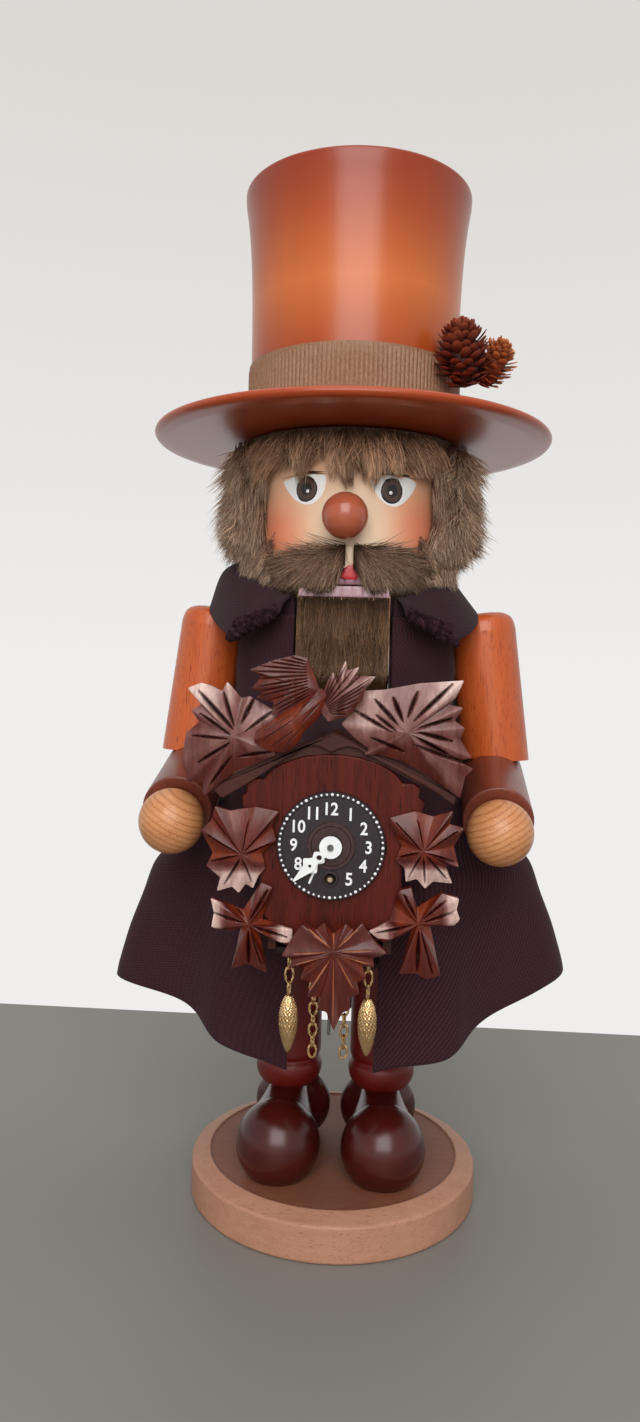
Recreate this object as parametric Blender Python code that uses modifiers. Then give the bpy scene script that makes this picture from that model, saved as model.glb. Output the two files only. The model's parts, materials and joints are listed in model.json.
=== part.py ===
"""Wooden nutcracker holding a small carved wall clock.

The figure faces -Y and stands on z = 0. Left and right are as seen from the front.
"""

from math import asin, cos, pi, radians, sin, sqrt

import bmesh
import bpy
from mathutils import Matrix, Vector

MM = 0.001
FIT = 0.3 * MM
RUNNING = 0.08 * MM
ROUND_STEPS = 36
SMALL_STEPS = 16

BASE_RADIUS = 64 * MM
BASE_HEIGHT = 18.2 * MM
FLOOR_DEPTH = 0.6 * MM
FLOOR_RADIUS = 55 * MM
RIM_BEVEL = 0.6 * MM
RIM_LIP = 0.8 * MM
RIM_FALL = 2.5 * MM

LEG_SPREAD = 21 * MM
LEG_RADIUS = 14.3 * MM
LEG_LENGTH = 64.7 * MM
CUFF_PROUD = 0.6 * MM
LEG_TENON_RADIUS = 6 * MM
LEG_TENON_LENGTH = 14 * MM
TOE_RADIUS = 18.2 * MM
TOE_REACH = 27 * MM
TOE_OUT = radians(3.5)
SOLE_FLAT = 5.1 * MM
SHOE_WAIST_RADIUS = 8.8 * MM
HEEL_RADIUS = 17.6 * MM
ANKLE_SINK = 1.2 * MM
ANKLE_RADIUS = 6.8 * MM
ANKLE_LENGTH = 8.4 * MM
SHOE_DOWEL_RADIUS = 3 * MM

TORSO_RADIUS = 45 * MM
TORSO_HEIGHT = 128 * MM
NECK_RADIUS = 37 * MM
NECK_LENGTH = 18 * MM
HEAD_RADIUS = 41 * MM
HEAD_HEIGHT = 75.2 * MM

JAW_WIDTH = 37.4 * MM
JAW_RISE = 37.6 * MM
JAW_PROUD = 1.5 * MM
MOUTH_GAP = 5.8 * MM
PIVOT_Y = -6 * MM
PIVOT_DROP = 8 * MM
PIN_RADIUS = 2 * MM
PIN_LENGTH = 74 * MM
BEARD_THICKNESS = 5.5 * MM
BEARD_LENGTH = 30 * MM
BEARD_DROP = 4.6 * MM

NOSE_RADIUS = 9.3 * MM
NOSE_RISE = 21.6 * MM
NOSE_PEG_RADIUS = 2.5 * MM

HAIR_THICKNESS = 18.1 * MM
HAIR_LENGTH = 49.8 * MM
FRINGE_LENGTH = 19.8 * MM

BRIM_RADIUS = 87 * MM
BRIM_THICKNESS = 5.4 * MM
CROWN_HEIGHT = 102.8 * MM
CROWN_WAIST_RADIUS = 45.5 * MM
CROWN_FLARE = 3.9 * MM
BAND_LIFT = 5.8 * MM
BAND_WIDTH = 22 * MM
BAND_THICKNESS = 1.2 * MM
HAT_DOWEL_RADIUS = 6 * MM
HAT_DOWEL_LENGTH = 40 * MM
CONE_LIFT = 25.8 * MM
LARGE_CONE_RADIUS = 10 * MM
LARGE_CONE_LENGTH = 26 * MM
SMALL_CONE_RADIUS = 7.4 * MM
SMALL_CONE_LENGTH = 17 * MM

ARM_RADIUS = 14.6 * MM
ARM_TILT = radians(7.7)
ARM_RISE = 22.5 * MM
ARM_DROP = 71.5 * MM
SHOULDER_TUCK = 2.8 * MM
ELBOW_OUT = 8 * MM
ELBOW_BACK = 10 * MM
SLEEVE_IN = 3.4 * MM
SLEEVE_FORWARD = 67 * MM
SLEEVE_FALL = 12.8 * MM
FOREARM_RADIUS = 13.9 * MM
HAND_RADIUS = 12.7 * MM
WRIST_PEG_RADIUS = 3 * MM
WRIST_PEG_LENGTH = 10 * MM
SHOULDER_DOWEL_RADIUS = 4 * MM
SHOULDER_DOWEL_DROP = 2 * MM

CLOTH_THICKNESS = 1.6 * MM
CLOTH_GAP = 1.4 * MM
COAT_RISE = 14 * MM
COAT_WAIST_DROP = 35 * MM
COAT_GAP_TOP = 42.5 * MM
COAT_GAP_HEM = 34 * MM
COLLAR_DROP = 2.5 * MM

DIAL_RISE = 59.6 * MM
DIAL_RADIUS = 19.9 * MM
DIAL_THICKNESS = 1.6 * MM
MOUNT_BLOCK_SIZE = 24 * MM
MOUNT_BLOCK_DEPTH = 16.4 * MM
CASE_DEPTH = 20 * MM
CASE_WIDTH = 46 * MM
CASE_WALL = 3 * MM
CASE_RISE = 24.4 * MM
CASE_DROP = 40.6 * MM
FRONT_THICKNESS = 4 * MM
FRONT_WIDTH = 52 * MM
FRONT_RISE = 33.4 * MM
FRONT_DROP = 45.6 * MM
ARCH_RISE = 13 * MM
ROOF_THICKNESS = 4 * MM
ROOF_RISE = 8 * MM
ROOF_OVERHANG = 19 * MM
ROOF_DROP = 20 * MM
LEAF_THICKNESS = 5 * MM
BACKING_WIDTH = 18 * MM
BACKING_HEIGHT = 11 * MM
BIRD_THICKNESS = 7 * MM

HAND_LIFT = 1.6 * MM
HAND_THICKNESS = 0.6 * MM
HAND_DIRECTION = radians(226)
MINUTE_REACH = 18.6 * MM
HOUR_REACH = 13 * MM
HUB_RADIUS = 4 * MM
ARBOR_RADIUS = 1.2 * MM
HOUR_TUBE_RADIUS = 2.2 * MM
WINDING_DROP = 12.1 * MM
WINDING_RADIUS = 1.6 * MM
BARREL_RADIUS = 8 * MM
PLATE_RISE = 18.4 * MM
PLATE_DROP = 42.6 * MM
PLATE_GAP = 8 * MM
PLATE_THICKNESS = 1.2 * MM

WEIGHT_SPREAD = 14.9 * MM
WEIGHT_RADIUS = 4 * MM
WEIGHT_LENGTH = 22.5 * MM
CHAIN_LENGTH = 15.1 * MM
CHAIN_RADIUS = 1.2 * MM
TAIL_SPREAD = 6 * MM
TAIL_LENGTH = 41.4 * MM
PENDULUM_DROP = 5.6 * MM
PENDULUM_LENGTH = 72 * MM
PENDULUM_RADIUS = 0.6 * MM
BOB_DROP = 48 * MM
BOB_RADIUS = 1.5 * MM

# Heights that follow from the sizes above, from the base up to the hat.
FLOOR_HEIGHT = BASE_HEIGHT - FLOOR_DEPTH
SOLE = FLOOR_HEIGHT + FIT
SHOE_AXIS_HEIGHT = SOLE + TOE_RADIUS - SOLE_FLAT
ANKLE_SEAT_HEIGHT = SHOE_AXIS_HEIGHT + SHOE_WAIST_RADIUS - ANKLE_SINK
ANKLE_BOTTOM = ANKLE_SEAT_HEIGHT + FIT
LEG_BOTTOM = ANKLE_BOTTOM + ANKLE_LENGTH
TORSO_BOTTOM = LEG_BOTTOM + LEG_LENGTH
SHOULDER_HEIGHT = TORSO_BOTTOM + TORSO_HEIGHT
HEAD_BOTTOM = SHOULDER_HEIGHT + NECK_LENGTH
HEAD_TOP = HEAD_BOTTOM + HEAD_HEIGHT
PIVOT_Z = SHOULDER_HEIGHT - PIVOT_DROP
JAW_TOP = PIVOT_Z + JAW_RISE
JAW_FRONT = HEAD_RADIUS + JAW_PROUD
MOUTH_ROOF = JAW_TOP + MOUTH_GAP
DIAL_HEIGHT = TORSO_BOTTOM + DIAL_RISE

for old in list(bpy.data.objects):
    bpy.data.objects.remove(old, do_unlink=True)
PARTS = bpy.data.collections.new("wooden_nutcracker")
CUTTERS = bpy.data.collections.new("cutters")
bpy.context.scene.collection.children.link(PARTS)
bpy.context.scene.collection.children.link(CUTTERS)


def material(name, colour, roughness, metallic=0.0):
    """A Principled material of one colour."""
    made = bpy.data.materials.new(name)
    made.use_nodes = True
    shader = made.node_tree.nodes["Principled BSDF"]
    shader.inputs["Base Color"].default_value = (*colour, 1.0)
    shader.inputs["Roughness"].default_value = roughness
    shader.inputs["Metallic"].default_value = metallic
    return made


BEECH = material("beech", (0.62, 0.34, 0.18), 0.5)
RED_BROWN = material("red_brown_lacquer", (0.09, 0.012, 0.01), 0.25)
SKIN = material("skin_paint", (0.80, 0.48, 0.30), 0.4)
NOSE_PAINT = material("nose_paint", (0.33, 0.10, 0.05), 0.35)
HAT_LACQUER = material("hat_lacquer", (0.45, 0.11, 0.03), 0.3)
RIBBON = material("ribbon", (0.28, 0.15, 0.08), 0.8)
FUR = material("fur", (0.17, 0.11, 0.07), 0.9)
CONE = material("cone_scales", (0.16, 0.045, 0.025), 0.6)
ARM_STAIN = material("arm_stain", (0.50, 0.13, 0.025), 0.35)
SLEEVE = material("sleeve_paint", (0.13, 0.035, 0.02), 0.4)
CLOTH = material("aubergine_twill", (0.025, 0.012, 0.016), 0.9)
CARVED = material("carved_wood", (0.16, 0.035, 0.02), 0.4)
DIAL_BLACK = material("dial_black", (0.02, 0.015, 0.015), 0.4)
WHITE = material("white_plastic", (0.8, 0.82, 0.82), 0.4)
BRASS = material("brass", (0.6, 0.36, 0.13), 0.35, 1.0)
STEEL = material("steel", (0.5, 0.5, 0.5), 0.4, 1.0)


def add(name, mesh, mat):
    """Put a mesh in the scene: a part when it has a material, else a hidden cutter."""
    obj = bpy.data.objects.new(name, mesh)
    if mat is None:
        CUTTERS.objects.link(obj)
        obj.hide_render = True
        obj.display_type = "WIRE"
    else:
        PARTS.objects.link(obj)
        mesh.materials.append(mat)
    return obj


def from_faces(name, points, faces, mat, smooth=False):
    """A closed mesh with its faces turned outwards."""
    mesh = bpy.data.meshes.new(name)
    mesh.from_pydata(points, [], faces)
    work = bmesh.new()
    work.from_mesh(mesh)
    bmesh.ops.recalc_face_normals(work, faces=work.faces[:])
    work.to_mesh(mesh)
    work.free()
    for face in mesh.polygons:
        face.use_smooth = smooth
    return add(name, mesh, mat)


def turned(name, profile, mat, at=(0, 0, 0), axis=(0, 0, 1), steps=SMALL_STEPS, ring=False):
    """Revolve (radius, height) points, listed top to bottom on the outer side."""
    points = [(r, 0.0, z) for r, z in profile]
    edges = [(i, i + 1) for i in range(len(points) - 1)]
    if ring:
        edges.append((len(points) - 1, 0))
    mesh = bpy.data.meshes.new(name)
    mesh.from_pydata(points, edges, [])
    obj = add(name, mesh, mat)
    screw = obj.modifiers.new("turn", "SCREW")
    screw.steps = steps
    screw.render_steps = steps
    screw.use_merge_vertices = True
    screw.merge_threshold = 1e-5
    screw.use_smooth_shade = True
    turn = Vector(axis).to_track_quat("Z", "Y").to_matrix().to_4x4()
    obj.matrix_world = Matrix.Translation(Vector(at)) @ turn
    return obj


def rod(name, start, end, radius, mat, steps=SMALL_STEPS):
    """A plain round bar between two points."""
    start = Vector(start)
    end = Vector(end)
    length = (end - start).length
    profile = [(0, length), (radius, length), (radius, 0), (0, 0)]
    return turned(name, profile, mat, start, end - start, steps)


def prism_x(name, outline, half_width, mat):
    """Extrude a closed (y, z) outline to both sides of x = 0."""
    count = len(outline)
    points = [(side * half_width, y, z) for side in (-1, 1) for y, z in outline]
    return from_faces(name, points, prism_faces(count), mat)


def prism_y(name, outline, front, back, mat):
    """Extrude a closed (x, z) outline between two y values."""
    count = len(outline)
    points = [(x, y, z) for y in (front, back) for x, z in outline]
    return from_faces(name, points, prism_faces(count), mat)


def prism_faces(count):
    """The two ends and the sides of a prism with this many corners."""
    faces = [tuple(range(count)), tuple(range(count, 2 * count))]
    for i in range(count):
        j = (i + 1) % count
        faces.append((i, j, count + j, count + i))
    return faces


def lofted(name, rings, mat):
    """Join closed rings of points in order and cap both ends."""
    count = len(rings[0])
    points = [point for ring in rings for point in ring]
    last = (len(rings) - 1) * count
    faces = [tuple(range(count)), tuple(range(last, last + count))]
    for i in range(len(rings) - 1):
        for j in range(count):
            k = (j + 1) % count
            a = i * count
            faces.append((a + j, a + k, a + count + k, a + count + j))
    return from_faces(name, points, faces, mat, smooth=True)


def boolean(obj, other, operation):
    """Cut another object from this one, or join it on."""
    change = obj.modifiers.new(other.name, "BOOLEAN")
    change.operation = operation
    change.solver = "EXACT"
    change.object = other


def drill(obj, start, end, radius, steps=SMALL_STEPS):
    """Cut a round hole between two points."""
    cutter = rod(obj.name + "_drill", start, end, radius, None, steps)
    boolean(obj, cutter, "DIFFERENCE")


def block(name, low, high, mat):
    """A box between two corners."""
    outline = [(low[0], low[2]), (high[0], low[2]), (high[0], high[2]), (low[0], high[2])]
    return prism_y(name, outline, low[1], high[1], mat)


def ball_points(radius, height, first, last, count):
    """Points on a ball's outline between two angles from its top."""
    angles = [first + (last - first) * i / (count - 1) for i in range(count)]
    return [(radius * sin(a), height + radius * cos(a)) for a in angles]


def sides():
    """The name ending and sign of the left and right pieces."""
    return (("left", -1), ("right", 1))


def ramp(value, stops):
    """Straight-line interpolation through (position, value) stops."""
    for (a, low), (b, high) in zip(stops, stops[1:]):
        if value <= b:
            share = max(0.0, (value - a) / (b - a))
            return low + (high - low) * share
    return stops[-1][1]


# Base: a turned disc with a sunk floor inside a rim that slopes down outwards.
base = turned(
    "base_plate",
    [
        (0, FLOOR_HEIGHT),
        (FLOOR_RADIUS, FLOOR_HEIGHT),
        (FLOOR_RADIUS + RIM_BEVEL, BASE_HEIGHT),
        (FLOOR_RADIUS + RIM_BEVEL + RIM_LIP, BASE_HEIGHT),
        (BASE_RADIUS - 0.8 * MM, BASE_HEIGHT - RIM_FALL),
        (BASE_RADIUS, BASE_HEIGHT - RIM_FALL - 0.8 * MM),
        (BASE_RADIUS, 0.8 * MM),
        (BASE_RADIUS - 0.8 * MM, 0),
        (0, 0),
    ],
    BEECH,
    steps=ROUND_STEPS,
)
DOWEL_LOW = 5 * MM
DOWEL_HIGH = LEG_BOTTOM + 12 * MM

# Shoes: turned along Y with a toe ball, a narrow waist and a bell-shaped heel.
toe = ball_points(TOE_RADIUS, TOE_REACH, 0, radians(120), 7)
toe[0] = (0, toe[0][1])
SHOE_PROFILE = toe + [
    (12 * MM, 13 * MM),
    (9.6 * MM, 8.5 * MM),
    (SHOE_WAIST_RADIUS, 3 * MM),
    (SHOE_WAIST_RADIUS, -2 * MM),
    (10.6 * MM, -6.5 * MM),
    (14.5 * MM, -10.5 * MM),
    (HEEL_RADIUS, -15 * MM),
    (16.4 * MM, -19 * MM),
    (12 * MM, -22 * MM),
    (0, -23 * MM),
]
LEG_PROFILE = [
    (0, TORSO_BOTTOM - FIT + LEG_TENON_LENGTH),
    (LEG_TENON_RADIUS, TORSO_BOTTOM - FIT + LEG_TENON_LENGTH),
    (LEG_TENON_RADIUS, TORSO_BOTTOM - FIT),
    (LEG_RADIUS, TORSO_BOTTOM - FIT),
    (LEG_RADIUS, LEG_BOTTOM + 14 * MM),
    (LEG_RADIUS - 1 * MM, LEG_BOTTOM + 13.2 * MM),
    (LEG_RADIUS + CUFF_PROUD, LEG_BOTTOM + 10.5 * MM),
    (LEG_RADIUS + CUFF_PROUD, LEG_BOTTOM + 5 * MM),
    (LEG_RADIUS - 1.8 * MM, LEG_BOTTOM + 1.6 * MM),
    (ANKLE_RADIUS + 2.2 * MM, LEG_BOTTOM),
    (ANKLE_RADIUS, LEG_BOTTOM - 0.6 * MM),
    (ANKLE_RADIUS, ANKLE_BOTTOM),
    (0, ANKLE_BOTTOM),
]
for side, sign in sides():
    x = sign * LEG_SPREAD
    toe_line = (sign * sin(TOE_OUT), -cos(TOE_OUT), 0)
    shoe = turned("shoe_" + side, SHOE_PROFILE, RED_BROWN, (x, 0, SHOE_AXIS_HEIGHT), toe_line)
    sole = block(
        "sole_cut_" + side,
        (x - 2 * TOE_RADIUS, -2 * BASE_RADIUS, 0),
        (x + 2 * TOE_RADIUS, BASE_RADIUS, SOLE),
        None,
    )
    boolean(shoe, sole, "DIFFERENCE")
    seat_radius = ANKLE_RADIUS + FIT
    drill(shoe, (x, 0, ANKLE_SEAT_HEIGHT), (x, 0, SHOE_AXIS_HEIGHT + 2 * TOE_RADIUS), seat_radius)
    leg = turned("leg_" + side, LEG_PROFILE, RED_BROWN, (x, 0, 0))
    rod("shoe_dowel_" + side, (x, 0, DOWEL_LOW), (x, 0, DOWEL_HIGH), SHOE_DOWEL_RADIUS, BEECH, 16)
    hole = SHOE_DOWEL_RADIUS + FIT
    for piece in (base, shoe, leg):
        drill(piece, (x, 0, DOWEL_LOW - FIT), (x, 0, DOWEL_HIGH + FIT), hole, 16)

# Body block: torso, neck and head turned in one, with the jaw slot sawn through it.
body = turned(
    "body_block",
    [
        (0, HEAD_TOP),
        (HEAD_RADIUS - 5 * MM, HEAD_TOP),
        (HEAD_RADIUS - 1 * MM, HEAD_TOP - 2 * MM),
        (HEAD_RADIUS, HEAD_TOP - 6 * MM),
        (HEAD_RADIUS, HEAD_BOTTOM + 4 * MM),
        (HEAD_RADIUS - 1.5 * MM, HEAD_BOTTOM),
        (NECK_RADIUS, SHOULDER_HEIGHT + 13 * MM),
        (TORSO_RADIUS - 3 * MM, SHOULDER_HEIGHT + 8 * MM),
        (TORSO_RADIUS, SHOULDER_HEIGHT - 3 * MM),
        (TORSO_RADIUS, TORSO_BOTTOM + 3 * MM),
        (TORSO_RADIUS - 2 * MM, TORSO_BOTTOM),
        (0, TORSO_BOTTOM),
    ],
    SKIN,
    steps=ROUND_STEPS,
)
SLOT_END = TORSO_RADIUS + 25 * MM
SLOT = [
    (-SLOT_END, MOUTH_ROOF),
    (-14 * MM, MOUTH_ROOF),
    (4 * MM, PIVOT_Z + 28 * MM),
    (24 * MM, PIVOT_Z + 17 * MM),
    (SLOT_END, PIVOT_Z + 13.5 * MM),
    (SLOT_END, PIVOT_Z - 46 * MM),
    (46 * MM, PIVOT_Z - 33 * MM),
    (14 * MM, PIVOT_Z - 18 * MM),
    (-8 * MM, PIVOT_Z - 14.5 * MM),
    (-SLOT_END, PIVOT_Z - 15.5 * MM),
]
slot = prism_x("jaw_slot", SLOT, JAW_WIDTH / 2 + FIT, None)
boolean(body, slot, "DIFFERENCE")
for side, sign in sides():
    x = sign * LEG_SPREAD
    tenon_end = TORSO_BOTTOM + LEG_TENON_LENGTH
    drill(body, (x, 0, TORSO_BOTTOM - 5 * MM), (x, 0, tenon_end), LEG_TENON_RADIUS + FIT)

# Nose: a ball with a peg glued into the face.
NOSE_Y = -(HEAD_RADIUS + NOSE_RADIUS + FIT)
NOSE_HEIGHT = MOUTH_ROOF + NOSE_RISE
nose_profile = ball_points(NOSE_RADIUS, 0, 0, radians(162), 9)
nose_profile[0] = (0, NOSE_RADIUS)
peg_end = NOSE_RADIUS + 8 * MM
nose_profile += [
    (NOSE_PEG_RADIUS, -NOSE_RADIUS),
    (NOSE_PEG_RADIUS, -peg_end),
    (0, -peg_end),
]
turned("nose", nose_profile, NOSE_PAINT, (0, NOSE_Y, NOSE_HEIGHT), (0, -1, 0), 16)
nose_hole_end = NOSE_Y + peg_end + FIT
drill(body, (0, 2 * NOSE_Y, NOSE_HEIGHT), (0, nose_hole_end, NOSE_HEIGHT), NOSE_PEG_RADIUS + FIT, 16)

# Jaw lever: one board with the jaw in front and the handle down the back.
LEVER = [
    (-JAW_FRONT, JAW_TOP),
    (-24 * MM, JAW_TOP),
    (0, PIVOT_Z + 14 * MM),
    (20 * MM, PIVOT_Z + 4 * MM),
    (46 * MM, PIVOT_Z - 9.5 * MM),
    (60 * MM, PIVOT_Z - 25 * MM),
    (69 * MM, PIVOT_Z - 92 * MM),
    (66.5 * MM, PIVOT_Z - 96 * MM),
    (61.5 * MM, PIVOT_Z - 95 * MM),
    (53.5 * MM, PIVOT_Z - 37 * MM),
    (44 * MM, PIVOT_Z - 27 * MM),
    (14 * MM, PIVOT_Z - 14 * MM),
    (-6 * MM, PIVOT_Z - 10 * MM),
    (-24 * MM, PIVOT_Z - 2 * MM),
    (-36 * MM, PIVOT_Z + 4 * MM),
    (-JAW_FRONT, PIVOT_Z + 6 * MM),
]
lever = prism_x("jaw_lever", LEVER, JAW_WIDTH / 2, SKIN)
PIN_END = PIN_LENGTH / 2
pin_line = ((-PIN_END, PIVOT_Y, PIVOT_Z), (PIN_END, PIVOT_Y, PIVOT_Z))
rod("lever_pin", *pin_line, PIN_RADIUS, STEEL, 32)
past_end = ((-2 * PIN_END, PIVOT_Y, PIVOT_Z), (2 * PIN_END, PIVOT_Y, PIVOT_Z))
drill(lever, *past_end, PIN_RADIUS + RUNNING, 32)
drill(body, *past_end, PIN_RADIUS + RUNNING, 32)


def rounded_ring(centre, half_x, half_y, height, count=12, power=0.5):
    """A level ring between an ellipse and a rectangle in plan."""
    ring = []
    for i in range(count):
        a = 2 * pi * (i + 0.5) / count
        c = abs(cos(a)) ** power * (1 if cos(a) > 0 else -1)
        s = abs(sin(a)) ** power * (1 if sin(a) > 0 else -1)
        ring.append((centre[0] + half_x * c, centre[1] + half_y * s, height))
    return ring


# Beard: a straight tuft on the front of the jaw that moves with it.
BEARD_Y = -(JAW_FRONT + FIT + BEARD_THICKNESS / 2)
BEARD_TOP = JAW_TOP - BEARD_DROP
BEARD_BOTTOM = BEARD_TOP - BEARD_LENGTH
beard_rings = []
for share in (0.0, 0.06, 0.35, 0.7, 0.94, 1.0):
    height = BEARD_BOTTOM + (BEARD_TOP - BEARD_BOTTOM) * share
    inset = 1.2 * MM if share in (0.0, 1.0) else 0
    half_x = JAW_WIDTH / 2 - 0.2 * MM - inset
    half_y = BEARD_THICKNESS / 2 - inset / 2
    beard_rings.append(rounded_ring((0, BEARD_Y), half_x, half_y, height))
lofted("beard", beard_rings, FUR)

# Moustache: two tapering wings lying on the face above the mouth.
NOSE_UNDERSIDE = (NOSE_HEIGHT - NOSE_RADIUS) / MM
WING = [
    (1.5, 1.2, 2.6, 3.0),
    (5, 2.1, 4.6, 4.4),
    (12, 4.1, 5.2, 5.0),
    (19, 6.5, 4.6, 4.6),
    (25, 9.1, 3.8, 4.0),
    (30, 11.3, 2.2, 2.6),
    (33, 12.3, 0.9, 1.2),
]
for side, sign in sides():
    rings = []
    for x, drop, half_height, depth in WING:
        height = NOSE_UNDERSIDE - drop
        bulge = [(cos(2 * pi * i / 10), sin(2 * pi * i / 10)) for i in range(10)]
        face = sqrt((HEAD_RADIUS / MM) ** 2 - x**2) if x < 38 else 0
        centre = -(face + 0.5 + depth)
        rings.append(
            [(sign * x * MM, (centre + depth * c) * MM, (height + half_height * s) * MM) for c, s in bulge]
        )
    lofted("moustache_" + side, rings, FUR)


def swept(name, angles, section, mat):
    """Sweep a closed (radius, height) section round Z; each angle is measured from the front."""
    rings = []
    for angle in angles:
        rings.append([(r * sin(angle), -r * cos(angle), z) for r, z in section(angle)])
    return lofted(name, rings, mat)


def spread(first, last, count):
    """Evenly spaced angles in radians between two angles in degrees."""
    return [radians(first + (last - first) * i / (count - 1)) for i in range(count)]


# Hair: fur round the sides and back of the head, and a fringe on the forehead.
HAIR_EDGE = 62
HAIR_INNER = HEAD_RADIUS + 0.4 * MM
HAIR_TOP = HEAD_TOP - 0.4 * MM
HAIR_RADIUS = HAIR_INNER + HAIR_THICKNESS
HAIR_BOTTOM = HAIR_TOP - HAIR_LENGTH
FRINGE_BOTTOM = HAIR_TOP - FRINGE_LENGTH


def wig_section(angle):
    """Fat at half height, thinner at the two front ends."""
    turn = abs(angle - pi) / (pi - radians(HAIR_EDGE))
    full = HAIR_RADIUS - (4.5 * MM if turn > 0.98 else 0)
    return [
        (HAIR_INNER, HAIR_TOP),
        (full - 6 * MM, HAIR_TOP),
        (full - 1 * MM, HAIR_TOP - 14 * MM),
        (full, HAIR_TOP - 28 * MM),
        (full - 2 * MM, HAIR_BOTTOM + 5 * MM),
        (full - 7 * MM, HAIR_BOTTOM),
        (HAIR_INNER, HAIR_BOTTOM),
    ]


def fringe_section(angle):
    """A low roll whose lower edge dips a little towards the temples."""
    dip = 4 * MM * abs(angle) / radians(HAIR_EDGE)
    low = FRINGE_BOTTOM - dip
    return [
        (HAIR_INNER, HAIR_TOP),
        (HAIR_INNER + 7 * MM, HAIR_TOP),
        (HAIR_INNER + 8.5 * MM, HAIR_TOP - 8 * MM),
        (HAIR_INNER + 5 * MM, low + 1.5 * MM),
        (HAIR_INNER + 1.5 * MM, low),
        (HAIR_INNER, low),
    ]


swept("hair_wig", spread(HAIR_EDGE, 360 - HAIR_EDGE, 29), wig_section, FUR)
swept("hair_fringe", spread(-HAIR_EDGE + 1, HAIR_EDGE - 1, 15), fringe_section, FUR)

# Hat: brim and crown on one dowel, a ribbon round the crown and two cones beside it.
BRIM_BOTTOM = HEAD_TOP + FIT
BRIM_TOP = BRIM_BOTTOM + BRIM_THICKNESS
CROWN_BOTTOM = BRIM_TOP + FIT
CROWN_TOP = CROWN_BOTTOM + CROWN_HEIGHT
CROWN_TOP_RADIUS = CROWN_WAIST_RADIUS + CROWN_FLARE
BAND_BOTTOM = CROWN_BOTTOM + BAND_LIFT
BAND_TOP = BAND_BOTTOM + BAND_WIDTH
brim = turned(
    "hat_brim",
    [
        (0, BRIM_TOP),
        (BRIM_RADIUS - 5 * MM, BRIM_TOP),
        (BRIM_RADIUS - 1.2 * MM, BRIM_TOP - 1 * MM),
        (BRIM_RADIUS, BRIM_TOP - BRIM_THICKNESS / 2),
        (BRIM_RADIUS - 1.2 * MM, BRIM_BOTTOM + 1 * MM),
        (BRIM_RADIUS - 5 * MM, BRIM_BOTTOM),
        (0, BRIM_BOTTOM),
    ],
    HAT_LACQUER,
    steps=48,
)
crown = turned(
    "hat_crown",
    [
        (0, CROWN_TOP),
        (CROWN_TOP_RADIUS - 4 * MM, CROWN_TOP),
        (CROWN_TOP_RADIUS - 1 * MM, CROWN_TOP - 1.2 * MM),
        (CROWN_TOP_RADIUS, CROWN_TOP - 4 * MM),
        (CROWN_WAIST_RADIUS + 0.62 * CROWN_FLARE, CROWN_TOP - 14 * MM),
        (CROWN_WAIST_RADIUS + 0.31 * CROWN_FLARE, CROWN_TOP - 27 * MM),
        (CROWN_WAIST_RADIUS + 0.1 * CROWN_FLARE, CROWN_TOP - 44 * MM),
        (CROWN_WAIST_RADIUS, CROWN_TOP - 62 * MM),
        (CROWN_WAIST_RADIUS, CROWN_BOTTOM),
        (0, CROWN_BOTTOM),
    ],
    HAT_LACQUER,
    steps=ROUND_STEPS,
)
BAND_INNER = CROWN_WAIST_RADIUS + FIT
BAND_OUTER = BAND_INNER + BAND_THICKNESS
turned(
    "hat_band",
    [
        (BAND_OUTER, BAND_TOP),
        (BAND_OUTER, BAND_BOTTOM),
        (BAND_INNER, BAND_BOTTOM),
        (BAND_INNER, BAND_TOP),
    ],
    RIBBON,
    steps=ROUND_STEPS,
    ring=True,
)
DOWEL_MIDDLE = BRIM_BOTTOM
hat_low = (0, 0, DOWEL_MIDDLE - HAT_DOWEL_LENGTH / 2)
hat_high = (0, 0, DOWEL_MIDDLE + HAT_DOWEL_LENGTH / 2)
rod("hat_dowel", hat_low, hat_high, HAT_DOWEL_RADIUS, BEECH)
for piece in (body, brim, crown):
    drill(piece, (0, 0, hat_low[2] - FIT), (0, 0, hat_high[2] + FIT), HAT_DOWEL_RADIUS + FIT)


def cone_profile(radius, length, tiers):
    """An egg outline stepped into tiers of scales."""
    profile = [(0, length / 2)]
    for i in range(tiers):
        a = pi * (i + 0.35) / tiers
        b = pi * (i + 0.95) / tiers
        profile.append((0.84 * radius * sin(a) + 0.4 * MM, length / 2 * cos(a)))
        profile.append((radius * max(sin(b), 0.3), length / 2 * cos(b)))
    profile.append((0, -length / 2 - 0.3 * MM))
    return profile


CONE_SIDE = Vector((0.79, -0.613, 0))
large_at = CONE_SIDE * (BAND_OUTER + LARGE_CONE_RADIUS + FIT)
large_at.z = CROWN_BOTTOM + CONE_LIFT
large_profile = cone_profile(LARGE_CONE_RADIUS, LARGE_CONE_LENGTH, 6)
turned("hat_cone_large", large_profile, CONE, large_at, (0, 0, 1), 14)
small_at = large_at + Vector((0.88, 0.475, 0)) * (LARGE_CONE_RADIUS + SMALL_CONE_RADIUS + FIT)
small_at.z = CROWN_BOTTOM + CONE_LIFT - 1 * MM
small_profile = cone_profile(SMALL_CONE_RADIUS, SMALL_CONE_LENGTH, 4)
turned("hat_cone_small", small_profile, CONE, small_at, (0, 0, 1), 14)

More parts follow.
